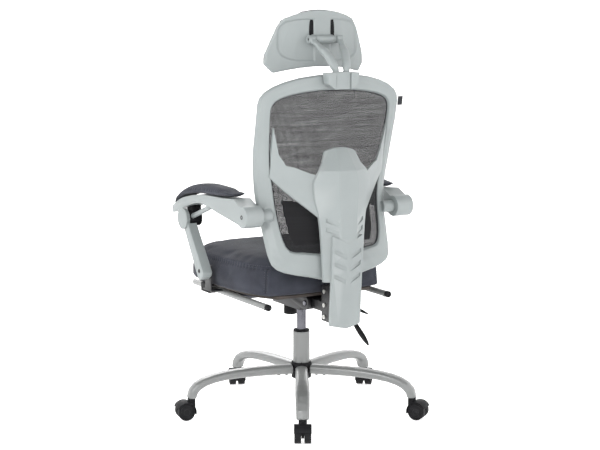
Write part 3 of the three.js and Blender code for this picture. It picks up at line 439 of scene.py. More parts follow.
fit(rounded(cast("tilt_housing", "tilt_tray"), 0.0018), "seat", enamel, "black_steel",
    "tilt_housing")
fit(rounded(cast("seat_plate", "tilt_plate"), 0.0012), "seat", enamel, "black_steel", "seat_plate")
fit(rounded(cast("back_pivot_shaft", "tilt_shaft"), 0.001), "seat", ground_steel,
    "polished_steel", "back_pivot_shaft")
plate_low, plate_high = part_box("seat_plate")
plate_screws = []
screw_in_x = 0.018
screw_in_y = 0.016
for x in (plate_low.x + screw_in_x, plate_high.x - screw_in_x):
    for y in (plate_low.y + screw_in_y, plate_high.y - screw_in_y):
        plate_screws.append(screw_head((x, y, plate_low.z + screw_sink), (0, 0, -1),
                                       radius=0.007, height=0.005))
fit(joined(plate_screws, "tilt_screws"), "seat", zinc, "black_steel")

for lever, body in (("height_lever", "height_lever_arm"), ("recline_lever", "recline_lever_arm")):
    handle = softened(cast(lever, f"{lever}_grip"), cell=0.0013, rounds=5)
    fit(handle, body, black_plastic, "black_plastic", lever)

knob_low, knob_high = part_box("tension_knob")
knob_radius = 0.0186
knob_height = 0.024
knob_lift = 0.0135
rib_height = 0.0013
bpy.ops.object.select_all(action="DESELECT")
bpy.ops.mesh.primitive_cylinder_add(
    vertices=36, radius=knob_radius, depth=knob_height,
    location=((knob_low.x + knob_high.x) / 2, (knob_low.y + knob_high.y) / 2,
              knob_low.z + knob_lift))
knob = bpy.context.object
knob.name = "tension_knob_grip"
bpy.ops.object.transform_apply(location=True)
for face in knob.data.polygons:
    face.select = abs(face.normal.z) < 0.1 and face.index % 2 == 0
bpy.ops.object.mode_set(mode="EDIT")
bpy.ops.mesh.select_mode(type="FACE")
bpy.ops.mesh.extrude_faces_move(TRANSFORM_OT_shrink_fatten={"value": rib_height})
bpy.ops.object.mode_set(mode="OBJECT")
rounded(knob, 0.0006)
fit(knob, "knob", black_plastic, "black_plastic")
fit(rounded(cast("tension_knob", "tension_knob_body"), 0.001), "knob", black_plastic,
    "black_plastic", "tension_knob")

# ---- seat ----
# A plywood board carries a foam cushion in a woven cover. The cover is cut in a top panel and
# side panels, filled by simulation, then drawn in along its welted seams and top-stitched.

ply = material("seat_board_ply", (0.035, 0.028, 0.024), 0.7)
grain(ply, (0.035, 0.028, 0.024), 0.3, 160, 0.3, patch=26)
fit(rounded(cast("seat_pan", "seat_board"), 0.0015), "seat", ply, "plywood", "seat_pan")


def woven(name, color, pitch, relief, spread):
    """A plain weave of two thread directions on the piece's UV map, in metres."""
    made = material(name, color, 0.92)
    link = made.node_tree.links.new
    shader = made.node_tree.nodes["Principled BSDF"]
    shader.inputs["Sheen Weight"].default_value = 0.06
    shader.inputs["Sheen Roughness"].default_value = 0.5
    shader.inputs["Specular IOR Level"].default_value = 0.25
    place = add_node(made, "TexCoord")
    axes = add_node(made, "SeparateXYZ")
    link(place.outputs["UV"], axes.inputs["Vector"])
    waves = []
    for axis, stretch in (("X", 1.0), ("Y", 0.6)):
        turns = add_node(made, "Math", operation="MULTIPLY")
        turns.inputs[1].default_value = 2 * math.pi / pitch * stretch
        wave = add_node(made, "Math", operation="SINE")
        link(axes.outputs[axis], turns.inputs[0])
        link(turns.outputs[0], wave.inputs[0])
        waves.append(wave)
    cross = add_node(made, "Math", operation="MULTIPLY")
    link(waves[0].outputs[0], cross.inputs[0])
    link(waves[1].outputs[0], cross.inputs[1])
    fuzz = add_node(made, "TexNoise", scale=900, detail=3.0)
    cloud = add_node(made, "TexNoise", scale=14, detail=4.0)
    link(place.outputs["UV"], fuzz.inputs["Vector"])
    link(place.outputs["UV"], cloud.inputs["Vector"])
    threads = add_node(made, "Math", operation="MULTIPLY_ADD")
    threads.inputs[1].default_value = 0.5
    link(cross.outputs[0], threads.inputs[0])
    link(fuzz.outputs["Fac"], threads.inputs[2])
    uneven = add_node(made, "Math", operation="MULTIPLY_ADD")
    uneven.inputs[1].default_value = 0.5
    link(threads.outputs[0], uneven.inputs[0])
    link(cloud.outputs["Fac"], uneven.inputs[2])
    tone = add_node(made, "ValToRGB")
    tone.color_ramp.elements[0].position = 0.35
    tone.color_ramp.elements[0].color = (*[c * (1 - spread) for c in color], 1)
    tone.color_ramp.elements[1].color = (*[c * (1 + spread) for c in color], 1)
    link(uneven.outputs[0], tone.inputs["Fac"])
    link(tone.outputs["Color"], shader.inputs["Base Color"])
    bump = add_node(made, "Bump", strength=0.6, distance=relief)
    link(threads.outputs[0], bump.inputs["Height"])
    link(bump.outputs["Normal"], shader.inputs["Normal"])
    return made


cloth = woven("seat_cloth_weave", (0.026, 0.028, 0.037), pitch=0.0022, relief=0.0004,
              spread=0.45)
thread = material("seat_thread", (0.075, 0.08, 0.095), 0.8)
grain(thread, (0.075, 0.08, 0.095), 0.15, 1200, 0.3, patch=80)


def wrap(piece):
    """Lays the weave on a piece: UVs in metres, from the side that each face looks to."""
    sheet = piece.data.uv_layers.get("weave") or piece.data.uv_layers.new(name="weave")
    for face in piece.data.polygons:
        x, y, z = (abs(part) for part in face.normal)
        for corner in face.loop_indices:
            point = piece.data.vertices[piece.data.loops[corner].vertex_index].co
            if z >= x and z >= y:
                sheet.data[corner].uv = (point.x, point.y)
            elif x >= y:
                sheet.data[corner].uv = (point.y, point.z)
            else:
                sheet.data[corner].uv = (point.x, point.z)


def shrunk(piece, depth, held):
    """Draws a closed piece in along its normals, to leave room for its filling."""
    inward = [vertex.normal.copy() for vertex in piece.data.vertices]
    for vertex, normal in zip(piece.data.vertices, inward):
        if not held(vertex.co):
            vertex.co -= normal * depth
    piece.data.update()


def filled(piece, cell, cap, held):
    """Stuffs a cut cover: an even mesh swells as cloth under pressure, up to cap, then is kept.
    held says which points stay where they are glued or stapled."""
    even = piece.modifiers.new("even", "REMESH")
    even.mode = "VOXEL"
    even.voxel_size = cell
    apply_modifiers(piece)
    shrunk(piece, cap * 0.5, held)
    start = [vertex.co.copy() for vertex in piece.data.vertices]
    glue = piece.vertex_groups.new(name="glue")
    glue.add([i for i, point in enumerate(start) if held(point)], 1.0, "REPLACE")
    cover = piece.modifiers.new("cover", "CLOTH")
    cover.settings.quality = 5
    cover.settings.mass = 0.3
    cover.settings.tension_stiffness = 12
    cover.settings.compression_stiffness = 12
    cover.settings.bending_stiffness = 3
    cover.settings.use_pressure = True
    cover.settings.uniform_pressure_force = 4.0
    cover.settings.vertex_group_mass = "glue"
    cover.settings.effector_weights.gravity = 0
    cover.point_cache.frame_start = 1
    cover.point_cache.frame_end = 20
    for step in range(1, 21):
        bpy.context.scene.frame_set(step)
    swollen = piece.evaluated_get(bpy.context.evaluated_depsgraph_get())
    reached = [vertex.co.copy() for vertex in swollen.data.vertices]
    piece.modifiers.remove(cover)
    bpy.context.scene.frame_set(1)
    for vertex, was, now in zip(piece.data.vertices, start, reached):
        move = now - was
        if move.length > cap:
            move *= cap / move.length
        vertex.co = was + move
    piece.vertex_groups.clear()
    ease = piece.modifiers.new("ease", "SMOOTH")
    ease.factor = 0.5
    ease.iterations = 6
    finer = piece.modifiers.new("finer", "SUBSURF")
    finer.levels = 1
    finer.render_levels = 1
    apply_modifiers(piece)
    return piece


def drawn_in(piece, path, depth, width):
    """Presses a groove of that depth into a piece along a path, with soft shoulders."""
    for vertex, normal in [(vertex, vertex.normal.copy()) for vertex in piece.data.vertices]:
        near = min((vertex.co - point).length_squared for point, _ in path)
        if near < (3 * width) ** 2:
            vertex.co -= normal * depth * math.exp(-near / width ** 2)
    piece.data.update()


def welt(path, name, radius, closed, sink=0.0):
    """A round cord in its cloth sleeve along a path on a piece, sunk a little into it."""
    line = bpy.data.curves.new(name, "CURVE")
    line.dimensions = "3D"
    line.bevel_depth = radius
    line.bevel_resolution = 2
    spline = line.splines.new("POLY")
    spline.points.add(len(path) - 1)
    for knot, (point, normal) in zip(spline.points, path):
        knot.co = (*(point - normal * sink), 1)
    spline.use_cyclic_u = closed
    line.use_fill_caps = True
    cord = bpy.data.objects.new(name, line)
    bpy.context.scene.collection.objects.link(cord)
    only(cord)
    bpy.ops.object.convert(target="MESH")
    bpy.ops.object.shade_smooth()
    return bpy.context.object


def stitches(path, name, pitch, length, radius, aside):
    """A row of short threads laid along a path, aside of it on the skin."""
    steps = [(b[0] - a[0]).length for a, b in zip(path, path[1:])]
    total = sum(steps)
    made = []
    walked, i = 0.0, 0
    for n in range(int(total / pitch)):
        goal = (n + 0.5) * pitch
        while i < len(steps) - 1 and walked + steps[i] < goal:
            walked += steps[i]
            i += 1
        (a, normal), (b, _) = path[i], path[i + 1]
        along = (b - a).normalized()
        side = normal.cross(along).normalized()
        middle = a + along * (goal - walked) + side * aside
        turn = Matrix((along, side, normal)).transposed().to_4x4()
        made.append(Matrix.Translation(middle + normal * radius * 0.4) @ turn)
    bpy.ops.object.select_all(action="DESELECT")
    bpy.ops.mesh.primitive_uv_sphere_add(segments=8, ring_count=4, radius=1)
    bead = bpy.context.object
    bead.data.transform(Matrix.Diagonal((length / 2, radius, radius, 1)))
    row = joined([copied(bead, f"{name}_{n}", turn) for n, turn in enumerate(made)], name)
    bpy.data.objects.remove(bead)
    only(row)
    bpy.ops.object.shade_smooth()
    return row


seat_low, seat_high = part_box("seat_cushion")
seat_middle = (seat_low + seat_high) / 2
seat_half = (seat_high - seat_low) / 2
cushion = cast("seat_cushion", "seat_cover")
rim_height = 0.079
rim_front_drop = 0.014
seam_foot = 0.010
seam_rise = 0.068
seam_points = 15
seat_stitch = {"pitch": 0.007, "length": 0.0042, "radius": 0.0005}
filled(cushion, cell=0.006, cap=0.008, held=lambda point: point.z < seat_low.z + 0.008)


def seat_rim_rays(height, sink_front, count=120):
    """Rays towards the seat's middle from all round, lower over the front edge."""
    rays = []
    for n in range(count):
        angle = 2 * math.pi * n / count
        out = Vector((math.cos(angle), math.sin(angle), 0))
        front = max(0.0, -out.y) ** 3
        start = Vector((seat_middle.x, seat_middle.y, seat_low.z + height - sink_front * front))
        rays.append((start + Vector((out.x * 0.5, out.y * 0.5, 0)), -out))
    return rays


rim = skin_path(cushion, seat_rim_rays(rim_height, rim_front_drop))
drawn_in(cushion, rim, depth=0.0035, width=0.006)
corner_seams = []
for x_side in (-1, 1):
    for y_side, x_share, y_share in ((1, 0.80, 0.90), (-1, 0.86, 0.88)):
        out = Vector((x_side * 0.75, y_side * 0.66, 0)).normalized()
        foot = Vector((seat_middle.x + x_side * seat_half.x * x_share,
                       seat_middle.y + y_side * seat_half.y * y_share, 0))
        rays = []
        for n in range(seam_points):
            height = seat_low.z + seam_foot + seam_rise * n / (seam_points - 1)
            rays.append((Vector((foot.x, foot.y, height)) + out * 0.15, -out))
        seam = skin_path(cushion, rays)
        drawn_in(cushion, seam, depth=0.002, width=0.005)
        corner_seams.append(seam)
rim = skin_path(cushion, seat_rim_rays(rim_height, rim_front_drop))
wrap(cushion)
fit(cushion, "seat", cloth, "seat_cloth", "seat_cushion")
bpy.ops.object.shade_smooth()
rim_cord = welt(rim, "seat_welt", radius=0.0017, closed=True, sink=0.0006)
wrap(rim_cord)
fit(rim_cord, "seat", cloth, "seat_cloth")
seat_rows = [stitches(rim + rim[:1], "seat_rim_stitches", aside=0.006, **seat_stitch)]
for n, seam in enumerate(corner_seams):
    cord = welt(seam, f"seat_corner_welt_{n + 1}", radius=0.0011, closed=False, sink=0.0004)
    wrap(cord)
    fit(cord, "seat", cloth, "seat_cloth")
    seat_rows.append(stitches(seam, f"seat_corner_row_{n}", aside=0.005, **seat_stitch))
    seat_rows.append(stitches(seam, f"seat_corner_pair_{n}", aside=-0.005, **seat_stitch))
fit(joined(seat_rows, "seat_stitches"), "seat", thread, "seat_cloth")

# ---- footrest ----
# Two painted tubes slide in black guides under the seat, with a cap on each rear end. Their
# cross bar carries a moulded board and a stuffed pad that faces down while it is stowed.

for side in ("left", "right"):
    guide = rounded(cast(f"footrest_guide_{side}", f"footrest_slide_{side}"), 0.0016)
    fit(guide, "seat", black_plastic, "black_plastic", f"footrest_guide_{side}")
fit(rounded(cast("footrest_frame", "footrest_tubes"), 0.0015), "footrest_slider", steel_paint,
    "painted_steel", "footrest_frame")
tube_low, tube_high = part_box("footrest_frame")
tube_radius = 0.009
cap_depth = 0.011
cap_wall = 0.0006
cap_behind = 0.0025
stop_in = 0.022
for side, x in (("left", tube_high.x - tube_radius), ("right", tube_low.x + tube_radius)):
    bpy.ops.object.select_all(action="DESELECT")
    bpy.ops.mesh.primitive_cylinder_add(
        vertices=32, radius=tube_radius + cap_wall, depth=cap_depth, rotation=(math.pi / 2, 0, 0),
        location=(x, tube_high.y - cap_depth / 2 + cap_behind, (tube_low.z + tube_high.z) / 2))
    tube_cap = bpy.context.object
    bpy.ops.object.transform_apply(location=True, rotation=True)
    for face in tube_cap.data.polygons:
        face.select = face.normal.y > 0.9
    bpy.ops.object.mode_set(mode="EDIT")
    bpy.ops.mesh.select_mode(type="FACE")
    bpy.ops.mesh.inset(thickness=0.0025)
    bpy.ops.transform.translate(value=(0, -0.0008, 0))
    bpy.ops.object.mode_set(mode="OBJECT")
    tube_cap.name = f"footrest_cap_{side}"
    fit(rounded(tube_cap, 0.0012, segments=3), "footrest_slider", black_plastic, "black_plastic")
    stop = screw_head((x, tube_high.y - stop_in, tube_low.z + screw_sink), (0, 0, -1),
                      radius=0.0035, height=0.002)
    stop.name = f"footrest_stop_{side}"
    fit(stop, "footrest_slider", black_plastic, "black_plastic")
fit(rounded(cast("footrest_board", "footrest_shell"), 0.002), "footrest", black_plastic,
    "black_plastic", "footrest_board")
pad_low, pad_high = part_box("footrest_pad")
foot_pad = cast("footrest_pad", "footrest_cover")
filled(foot_pad, cell=0.0045, cap=0.005, held=lambda point: point.z > pad_high.z - 0.005)
wrap(foot_pad)
fit(foot_pad, "footrest", cloth, "seat_cloth", "footrest_pad")
bpy.ops.object.shade_smooth()

# ---- back frame and mesh ----
# A one-piece moulded grey frame has a boss for each arm. A knitted mesh is stretched over its
# window, with a sewn edge cord half sunk in the frame. A stuffed lumbar pad lies before it,
# and a blank cloth tag hangs at the right rail.

grey_plastic = material("grey_moulding", (0.215, 0.237, 0.237), 0.42)
wear_edges(grey_plastic, grain(grey_plastic, (0.215, 0.237, 0.237), 0.035, 1100, 0.1),
           (0.27, 0.29, 0.29), 0.6)

rails = softened(cast("back_frame", "back_rails"), cell=0.0024, rounds=4)
fit(rails, "back", grey_plastic, "grey_plastic", "back_frame")


def netting(name, color, pitch, see_through):
    """An open knit on the piece's UV map: threads with holes between them, and darker bands."""
    made = material(name, color, 0.85)
    link = made.node_tree.links.new
    shader = made.node_tree.nodes["Principled BSDF"]
    shader.inputs["Specular IOR Level"].default_value = 0.2
    place = add_node(made, "TexCoord")
    axes = add_node(made, "SeparateXYZ")
    link(place.outputs["UV"], axes.inputs["Vector"])
    swells = []
    for axis, stretch in (("X", 0.8), ("Y", 1.0)):
        turns = add_node(made, "Math", operation="MULTIPLY")
        turns.inputs[1].default_value = math.pi / pitch * stretch
        wave = add_node(made, "Math", operation="SINE")
        square = add_node(made, "Math", operation="MULTIPLY")
        link(axes.outputs[axis], turns.inputs[0])
        link(turns.outputs[0], wave.inputs[0])
        link(wave.outputs[0], square.inputs[0])
        link(wave.outputs[0], square.inputs[1])
        swells.append(square)
    opening = add_node(made, "Math", operation="MULTIPLY")
    link(swells[0].outputs[0], opening.inputs[0])
    link(swells[1].outputs[0], opening.inputs[1])
    stretched = add_node(made, "Mapping")
    stretched.inputs["Scale"].default_value = (5, 160, 1)
    bands = add_node(made, "TexNoise", scale=1.0, detail=3.0)
    link(place.outputs["UV"], stretched.inputs["Vector"])
    link(stretched.outputs["Vector"], bands.inputs["Vector"])
    drift = add_node(made, "Math", operation="MULTIPLY_ADD")
    drift.inputs[1].default_value = 0.35
    link(bands.outputs["Fac"], drift.inputs[0])
    link(opening.outputs[0], drift.inputs[2])
    thread_mask = add_node(made, "Math", operation="LESS_THAN")
    thread_mask.inputs[1].default_value = see_through
    link(drift.outputs[0], thread_mask.inputs[0])
    link(thread_mask.outputs[0], shader.inputs["Alpha"])
    tone = add_node(made, "ValToRGB")
    tone.color_ramp.elements[0].color = (*[c * 0.6 for c in color], 1)
    tone.color_ramp.elements[1].color = (*[c * 1.7 for c in color], 1)
    link(bands.outputs["Fac"], tone.inputs["Fac"])
    link(tone.outputs["Color"], shader.inputs["Base Color"])
    relief = add_node(made, "Bump", strength=0.5, distance=0.0005)
    relief.invert = True
    link(opening.outputs[0], relief.inputs["Height"])
    link(relief.outputs["Normal"], shader.inputs["Normal"])
    return made


knit = netting("back_knit", (0.009, 0.009, 0.010), pitch=0.0026, see_through=0.96)

net = cast("back_mesh", "back_net")
rear_normal = 0.35
quad_limit = math.radians(60)
edit_faces(net, lambda face: face.normal.y < rear_normal)
bpy.ops.mesh.delete(type="FACE")
bpy.ops.mesh.select_all(action="SELECT")
bpy.ops.mesh.quads_convert_to_tris()
bpy.ops.mesh.tris_convert_to_quads(face_threshold=quad_limit, shape_threshold=quad_limit)
bpy.ops.object.mode_set(mode="OBJECT")
smooth_net = net.modifiers.new("smooth", "SUBSURF")
smooth_net.subdivision_type = "SIMPLE"
smooth_net.levels = 3
smooth_net.render_levels = 3
ease_net = net.modifiers.new("ease", "SMOOTH")
ease_net.factor = 0.5
ease_net.iterations = 12
ease_net.use_x = False
ease_net.use_z = False
apply_modifiers(net)
net_low, net_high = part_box("back_mesh")
net_middle = (net_low + net_high) / 2
net_half = (net_high - net_low) / 2
mesh_half_thickness = 0.0015
side_reach = 1.045
side_reach_at_top = 0.04
end_reach = 1.02
top_corner = 0.040
low_corner = 0.016
ray_inset = 0.045
for vertex in net.data.vertices:
    across = (vertex.co.x - net_middle.x) / net_half.x
    upward = (vertex.co.z - net_middle.z) / net_half.z
    into_corner = top_corner if upward > 0 else low_corner
    widen = side_reach + side_reach_at_top * max(0.0, upward)
    vertex.co.x = net_middle.x + across * net_half.x * widen
    vertex.co.z = net_middle.z + upward * (net_half.z * end_reach + into_corner * abs(across) ** 3)
    vertex.co.y -= mesh_half_thickness
bpy.ops.object.shade_smooth()
wrap(net)
uses = {}
for face in net.data.polygons:
    for key in face.edge_keys:
        uses[key] = uses.get(key, 0) + 1
rim_points = {point for key, count in uses.items() if count == 1 for point in key}
net_edge = sorted((net.data.vertices[i].co.copy() for i in rim_points),
                  key=lambda point: math.atan2(point.z - net_middle.z, point.x - net_middle.x))
edge_rays = []
for point in net_edge:
    inward = net_middle - point
    inward.y = 0
    inward.normalize()
    edge_rays.append((point + inward * ray_inset, -inward))
edge_cord = welt(skin_path(rails, edge_rays), "back_net_edge", radius=0.0017, closed=True,
                 sink=-0.0006)
wrap(edge_cord)
edge_cloth = woven("edge_cord_weave", (0.022, 0.023, 0.026), pitch=0.0018, relief=0.0003,
                   spread=0.4)
fit(edge_cord, "back", edge_cloth, "back_mesh_cloth")
fit(net, "back", knit, "back_mesh_cloth", "back_mesh")

lumbar_cloth = woven("lumbar_weave", (0.008, 0.008, 0.010), pitch=0.0022, relief=0.0004,
                     spread=0.4)
lumbar = cast("lumbar_pad", "lumbar_cover")
lumbar_low, lumbar_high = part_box("lumbar_pad")
lumbar_middle = (lumbar_low + lumbar_high) / 2
lumbar_half = (lumbar_high - lumbar_low) / 2
filled(lumbar, cell=0.0045, cap=0.005, held=lambda point: False)
seam_share_x = 0.8
seam_share_z = 0.78
lumbar_points = 90
lumbar_rays = []
for n in range(lumbar_points):
    angle = 2 * math.pi * n / lumbar_points
    out = Vector((math.cos(angle) * lumbar_half.x * seam_share_x, 0,
                  math.sin(angle) * lumbar_half.z * seam_share_z))
    lumbar_rays.append((Vector((lumbar_middle.x, 0, lumbar_middle.z)) + out, (0, 1, 0)))
lumbar_seam = skin_path(lumbar, lumbar_rays)
drawn_in(lumbar, lumbar_seam, depth=0.002, width=0.004)
wrap(lumbar)
fit(lumbar, "back", lumbar_cloth, "seat_cloth", "lumbar_pad")
bpy.ops.object.shade_smooth()

tag_height = 0.926
tag_curl = 0.002
bpy.ops.object.select_all(action="DESELECT")
bpy.ops.mesh.primitive_cube_add(size=1, location=from_column(-0.234, 0.166, tag_height))
tag = bpy.context.object
tag.name = "seam_tag"
tag.scale = (0.016, 0.0016, 0.026)
bpy.ops.object.transform_apply(location=True, rotation=True, scale=True)
bpy.ops.object.mode_set(mode="EDIT")
bpy.ops.mesh.select_all(action="SELECT")
bpy.ops.mesh.subdivide(number_cuts=5)
bpy.ops.object.mode_set(mode="OBJECT")
for vertex in tag.data.vertices:
    vertex.co.y += tag_curl * math.sin((vertex.co.z - tag_height) * 90)
rounded(tag, 0.0004)
wrap(tag)
fit(tag, "back", edge_cloth, "seat_cloth")

# ---- spine, cover and bracket ----
# A faceted grey spine spreads from the low middle to both rails. A long cover plate runs
# down its groove, both with sloping pockets in their flanks, and hides the steel bracket.


def pocket_tool(piece, outer, inner, height, depth):
    """A wedge that cuts a sloping pocket from outer to inner, two points given as x and z."""
    corners = []
    for (x, z), share in ((outer, 1.0), (inner, 0.15)):
        for up in (0.0, height):
            start = from_column(x, 0.5, z - up)
            (point, normal), = skin_path(piece, [(start, (0, -1, 0))])
            corners.append((point - normal * depth * share, point + normal * 0.006))
    bpy.ops.object.select_all(action="DESELECT")
    bpy.ops.mesh.primitive_cube_add(size=2)
    tool = bpy.context.object
    for vertex in tool.data.vertices:
        x, y, z = vertex.co
        corner = corners[(0 if x < 0 else 2) + (0 if z > 0 else 1)]
        vertex.co = corner[0] if y < 0 else corner[1]
    bpy.ops.object.mode_set(mode="EDIT")
    bpy.ops.mesh.select_all(action="SELECT")
    bpy.ops.mesh.normals_make_consistent(inside=False)
    bpy.ops.object.mode_set(mode="OBJECT")
    return tool


pocket_height = 0.012
pocket_depth = 0.0034


def pocketed(piece, pockets):
    """Cuts pockets on both flanks of a piece."""
    for outer, inner in pockets:
        for side in (1, -1):
            tool = pocket_tool(piece, (outer[0] * side, outer[1]), (inner[0] * side, inner[1]),
                               pocket_height, pocket_depth)
            cut = piece.modifiers.new("pocket", "BOOLEAN")
            cut.object = tool
            cut.operation = "DIFFERENCE"
            apply_modifiers(piece)
            bpy.data.objects.remove(tool)
    return piece


spine_pockets = (((0.060, 0.611), (0.030, 0.600)), ((0.060, 0.585), (0.030, 0.574)))
spine = pocketed(cast("back_spine", "back_yoke"), spine_pockets)
fit(rounded(spine, 0.0016, segments=2, angle=17, shade=20), "back", grey_plastic, "grey_plastic",
    "back_spine")

plate_pockets = (((0.043, 0.523), (0.007, 0.506)), ((0.043, 0.488), (0.007, 0.471)),
                 ((0.043, 0.453), (0.007, 0.436)))
plate = pocketed(cast("spine_cover", "spine_plate"), plate_pockets)
fit(rounded(plate, 0.0016, segments=2, angle=17, shade=20), "back", grey_plastic, "grey_plastic",
    "spine_cover")

fit(rounded(cast("back_bracket", "spine_bracket"), 0.0015), "back", enamel, "black_steel",
    "back_bracket")
bracket_low, bracket_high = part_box("back_bracket")
bolt_reach = 0.186
bolt_heights = (0.392, 0.352, 0.318)
bolt_sink = 0.0004
bracket_bolts = []
for side, x in ((1, bracket_high.x), (-1, bracket_low.x)):
    for z in bolt_heights:
        place = Vector((x - side * bolt_sink, column.y + bolt_reach, z))
        bracket_bolts.append(screw_head(place, (side, 0, 0), radius=0.0062, height=0.0045))
fit(joined(bracket_bolts, "bracket_bolts"), "back", zinc, "black_steel")

# ---- headrest ----
# A dished grey shell with a raised rim and middle bar, tilting on a forked arm that slides in
# a shield-shaped block on the top rail. Its front is a stuffed pad in the seat's cloth.

shell_low, shell_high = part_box("headrest_shell")
shell_middle = (shell_low + shell_high) / 2
shell = softened(cast("headrest_shell", "headrest_dish"), cell=0.0021, rounds=4)
dish_half_width = 0.133
dish_half_height = 0.060
dish_lift = 0.004
dish_depth = 0.005
dish_edge = 5
bar_half_width = 0.024
bar_flank = 0.004
for vertex in shell.data.vertices:
    x = vertex.co.x - shell_middle.x
    z = vertex.co.z - shell_middle.z - dish_lift
    inside = 1 - (abs(x) / dish_half_width) ** 4 - (abs(z) / dish_half_height) ** 4
    bar = min(1.0, max(0.0, (abs(x) - bar_half_width) / bar_flank))
    if vertex.normal.y > 0.2 and inside > 0:
        vertex.co.y -= dish_depth * min(1.0, inside * dish_edge) * bar
bpy.ops.object.shade_smooth()
fit(shell, "headrest", grey_plastic, "grey_plastic", "headrest_shell")
pin_low, pin_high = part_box("headrest_pin")
slot_size = (0.0075, 0.034, 0.004)
slot_aside = 0.0335
slot_over_pin = 0.022
slot_sink = 0.0012
slots = []
for side in (-1, 1):
    bpy.ops.object.select_all(action="DESELECT")
    bpy.ops.mesh.primitive_cylinder_add(vertices=28, radius=1, depth=1)
    slot_plug = bpy.context.object
    slot_plug.data.transform(Matrix.Diagonal((*slot_size, 1)))
    slot_plug.data.transform(Matrix.Rotation(math.radians(90), 4, "X"))
    start = (shell_middle.x + side * slot_aside, 0.5, pin_high.z + slot_over_pin)
    (point, normal), = skin_path(shell, [(start, (0, -1, 0))])
    slot_plug.data.transform(Matrix.Translation(point - normal * slot_sink))
    slots.append(rounded(slot_plug, 0.0005))
fit(joined(slots, "headrest_slots"), "headrest", black_plastic, "black_plastic")


def squared_ring(count, half_a, half_b, power):
    """Pairs of offsets round an oval that a low power makes squarer."""
    ring = []
    for n in range(count):
        angle = 2 * math.pi * n / count
        a = math.copysign(abs(math.cos(angle)) ** power, math.cos(angle)) * half_a
        b = math.copysign(abs(math.sin(angle)) ** power, math.sin(angle)) * half_b
        ring.append((a, b))
    return ring


head_pad = cast("headrest_pad", "headrest_cover")
head_pad_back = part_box("headrest_pad")[1].y
widen_x = 1.012
widen_z = 1.02
filled(head_pad, cell=0.005, cap=0.007,
       held=lambda point: point.y > head_pad_back - 0.02 and abs(point.x) < 0.05)
for vertex in head_pad.data.vertices:
    vertex.co.x = shell_middle.x + (vertex.co.x - shell_middle.x) * widen_x
    vertex.co.z = shell_middle.z + (vertex.co.z - shell_middle.z) * widen_z
head_rays = []
for spread_x, spread_z in squared_ring(110, 0.122, 0.056, power=0.6):
    start = Vector((shell_middle.x + spread_x, -0.4, shell_middle.z + spread_z))
    head_rays.append((start, (0, 1, 0)))
head_seam = skin_path(head_pad, head_rays)
drawn_in(head_pad, head_seam, depth=0.0028, width=0.0045)
head_seam = skin_path(head_pad, head_rays)
wrap(head_pad)
fit(head_pad, "headrest", cloth, "seat_cloth", "headrest_pad")
bpy.ops.object.shade_smooth()
fit(stitches(head_seam + head_seam[:1], "headrest_stitches", pitch=0.006, length=0.0038,
             radius=0.0005, aside=0.0), "headrest", thread, "seat_cloth")

fork = softened(cast("headrest_fork", "headrest_arms"), cell=0.0015, rounds=3)
fork_swell = 0.0034
fork_ease = 0.012
block_gap = 0.004
pin_share = 0.8
block_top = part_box("headrest_block")[1].z
fork_skin = [(vertex, vertex.normal.copy()) for vertex in fork.data.vertices]
for vertex, normal in fork_skin:
    free = min(1.0, max(0.0, (vertex.co.z - block_top - block_gap) / fork_ease))
    free *= min(1.0, max(0.0, (pin_low.z - fork_ease - vertex.co.z) / fork_ease))
    vertex.co += normal * fork_swell * free
fit(fork, "headrest_carrier", grey_plastic, "grey_plastic", "headrest_fork")
pin = rounded(cast("headrest_pin", "headrest_axle"), 0.0006)
pin_middle = (pin_low + pin_high) / 2
for vertex in pin.data.vertices:
    vertex.co.y = pin_middle.y + (vertex.co.y - pin_middle.y) * pin_share
    vertex.co.z = pin_middle.z + (vertex.co.z - pin_middle.z) * pin_share
fit(pin, "headrest", enamel, "black_steel", "headrest_pin")
fit(rounded(cast("headrest_block", "headrest_shield"), 0.002, segments=3), "back", grey_plastic,
    "grey_plastic", "headrest_block")

# ---- arms ----
# Each arched arm hangs on a boss of the back frame and rests on a strut that turns at the
# seat's side. A black drum sits beside the strut's round head, and a stuffed pad lies on top.

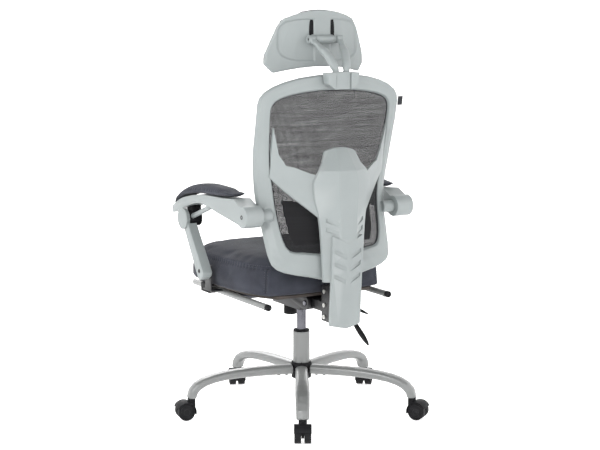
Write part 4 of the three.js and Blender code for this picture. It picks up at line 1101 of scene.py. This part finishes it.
arm_bolt_sink = 0.0022
strut_bolt_sink = 0.0024
for side, sign in (("left", 1), ("right", -1)):
    beam_low, beam_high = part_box(f"arm_beam_{side}")
    outer_x = beam_high.x if sign > 0 else beam_low.x
    beam = rounded(cast(f"arm_beam_{side}", f"arm_arch_{side}"), 0.0042, segments=3, angle=40,
                   shade=40)
    fit(beam, f"arm_{side}", grey_plastic, "grey_plastic", f"arm_beam_{side}")
    fit(rounded(cast(f"arm_drum_{side}", f"arm_hub_{side}"), 0.0015), f"arm_{side}",
        black_plastic, "black_plastic", f"arm_drum_{side}")
    strut = rounded(cast(f"strut_{side}", f"strut_bar_{side}"), 0.0032, segments=3, angle=40)
    fit(strut, f"strut_{side}", grey_plastic, "grey_plastic", f"strut_{side}")
    cap = cast(f"hub_cap_{side}", f"strut_cap_{side}")
    for face in cap.data.polygons:
        face.select = face.normal.x * sign > 0.9
    bpy.ops.object.mode_set(mode="EDIT")
    bpy.ops.mesh.select_mode(type="FACE")
    bpy.ops.mesh.inset(thickness=0.0032)
    bpy.ops.transform.translate(value=(-sign * 0.001, 0, 0))
    bpy.ops.mesh.inset(thickness=0.0008)
    bpy.ops.transform.translate(value=(sign * 0.0008, 0, 0))
    bpy.ops.object.mode_set(mode="OBJECT")
    fit(rounded(cap, 0.0012, segments=3, angle=30), f"strut_{side}", grey_plastic,
        "grey_plastic", f"hub_cap_{side}")
    fit(rounded(cast(f"strut_bracket_{side}", f"strut_strap_{side}"), 0.0012), "seat", enamel,
        "black_steel", f"strut_bracket_{side}")

    arm_hinge = Vector(joint_of[f"arm_{side}_hinge"]["pos_m"])
    strut_hinge = Vector(joint_of[f"strut_{side}_hinge"]["pos_m"])
    strut_low, strut_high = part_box(f"strut_{side}")
    strut_x = strut_high.x if sign > 0 else strut_low.x
    arm_bolt = screw_head((outer_x - sign * arm_bolt_sink, arm_hinge.y, arm_hinge.z),
                          (sign, 0, 0), radius=0.0062, height=0.0032)
    arm_bolt.name = f"arm_bolt_{side}"
    fit(arm_bolt, f"arm_{side}", enamel, "black_steel")
    foot_bolt = screw_head((strut_x - sign * strut_bolt_sink, strut_hinge.y, strut_hinge.z),
                           (sign, 0, 0), radius=0.0062, height=0.0034)
    foot_bolt.name = f"strut_bolt_{side}"
    fit(foot_bolt, f"strut_{side}", enamel, "black_steel")

    pad_low, pad_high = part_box(f"arm_pad_{side}")
    pad_middle = (pad_low + pad_high) / 2
    if side == "left":
        arm_pad = cast("arm_pad_left", "arm_cover_left")
        filled(arm_pad, cell=0.0045, cap=0.005,
               held=lambda point: abs(point.x - pad_middle.x) < 0.02 and point.z < pad_low.z + 0.02)
        pad_rays = []
        for spread_x, spread_y in squared_ring(90, 0.0285, 0.182, power=0.7):
            start = Vector((pad_middle.x + spread_x, pad_middle.y + spread_y, 1.0))
            pad_rays.append((start, (0, 0, -1)))
        pad_seam = skin_path(arm_pad, pad_rays)
        drawn_in(arm_pad, pad_seam, depth=0.0016, width=0.0035)
        pad_seam = skin_path(arm_pad, pad_rays)
        wrap(arm_pad)
        pad_row = stitches(pad_seam + pad_seam[:1], "arm_stitches_left", pitch=0.006,
                           length=0.0036, radius=0.00045, aside=0)
        mirror = (Matrix.Translation((column.x, 0, 0)) @ Matrix.Diagonal((-1, 1, 1, 1))
                  @ Matrix.Translation((-column.x, 0, 0)))
        other_pad = copied(arm_pad, "arm_cover_right", mirror)
        other_row = copied(pad_row, "arm_stitches_right", mirror)
    cover, row = (arm_pad, pad_row) if side == "left" else (other_pad, other_row)
    fit(cover, f"arm_{side}", cloth, "seat_cloth", f"arm_pad_{side}")
    only(cover)
    bpy.ops.object.shade_smooth()
    fit(row, f"arm_{side}", thread, "seat_cloth")
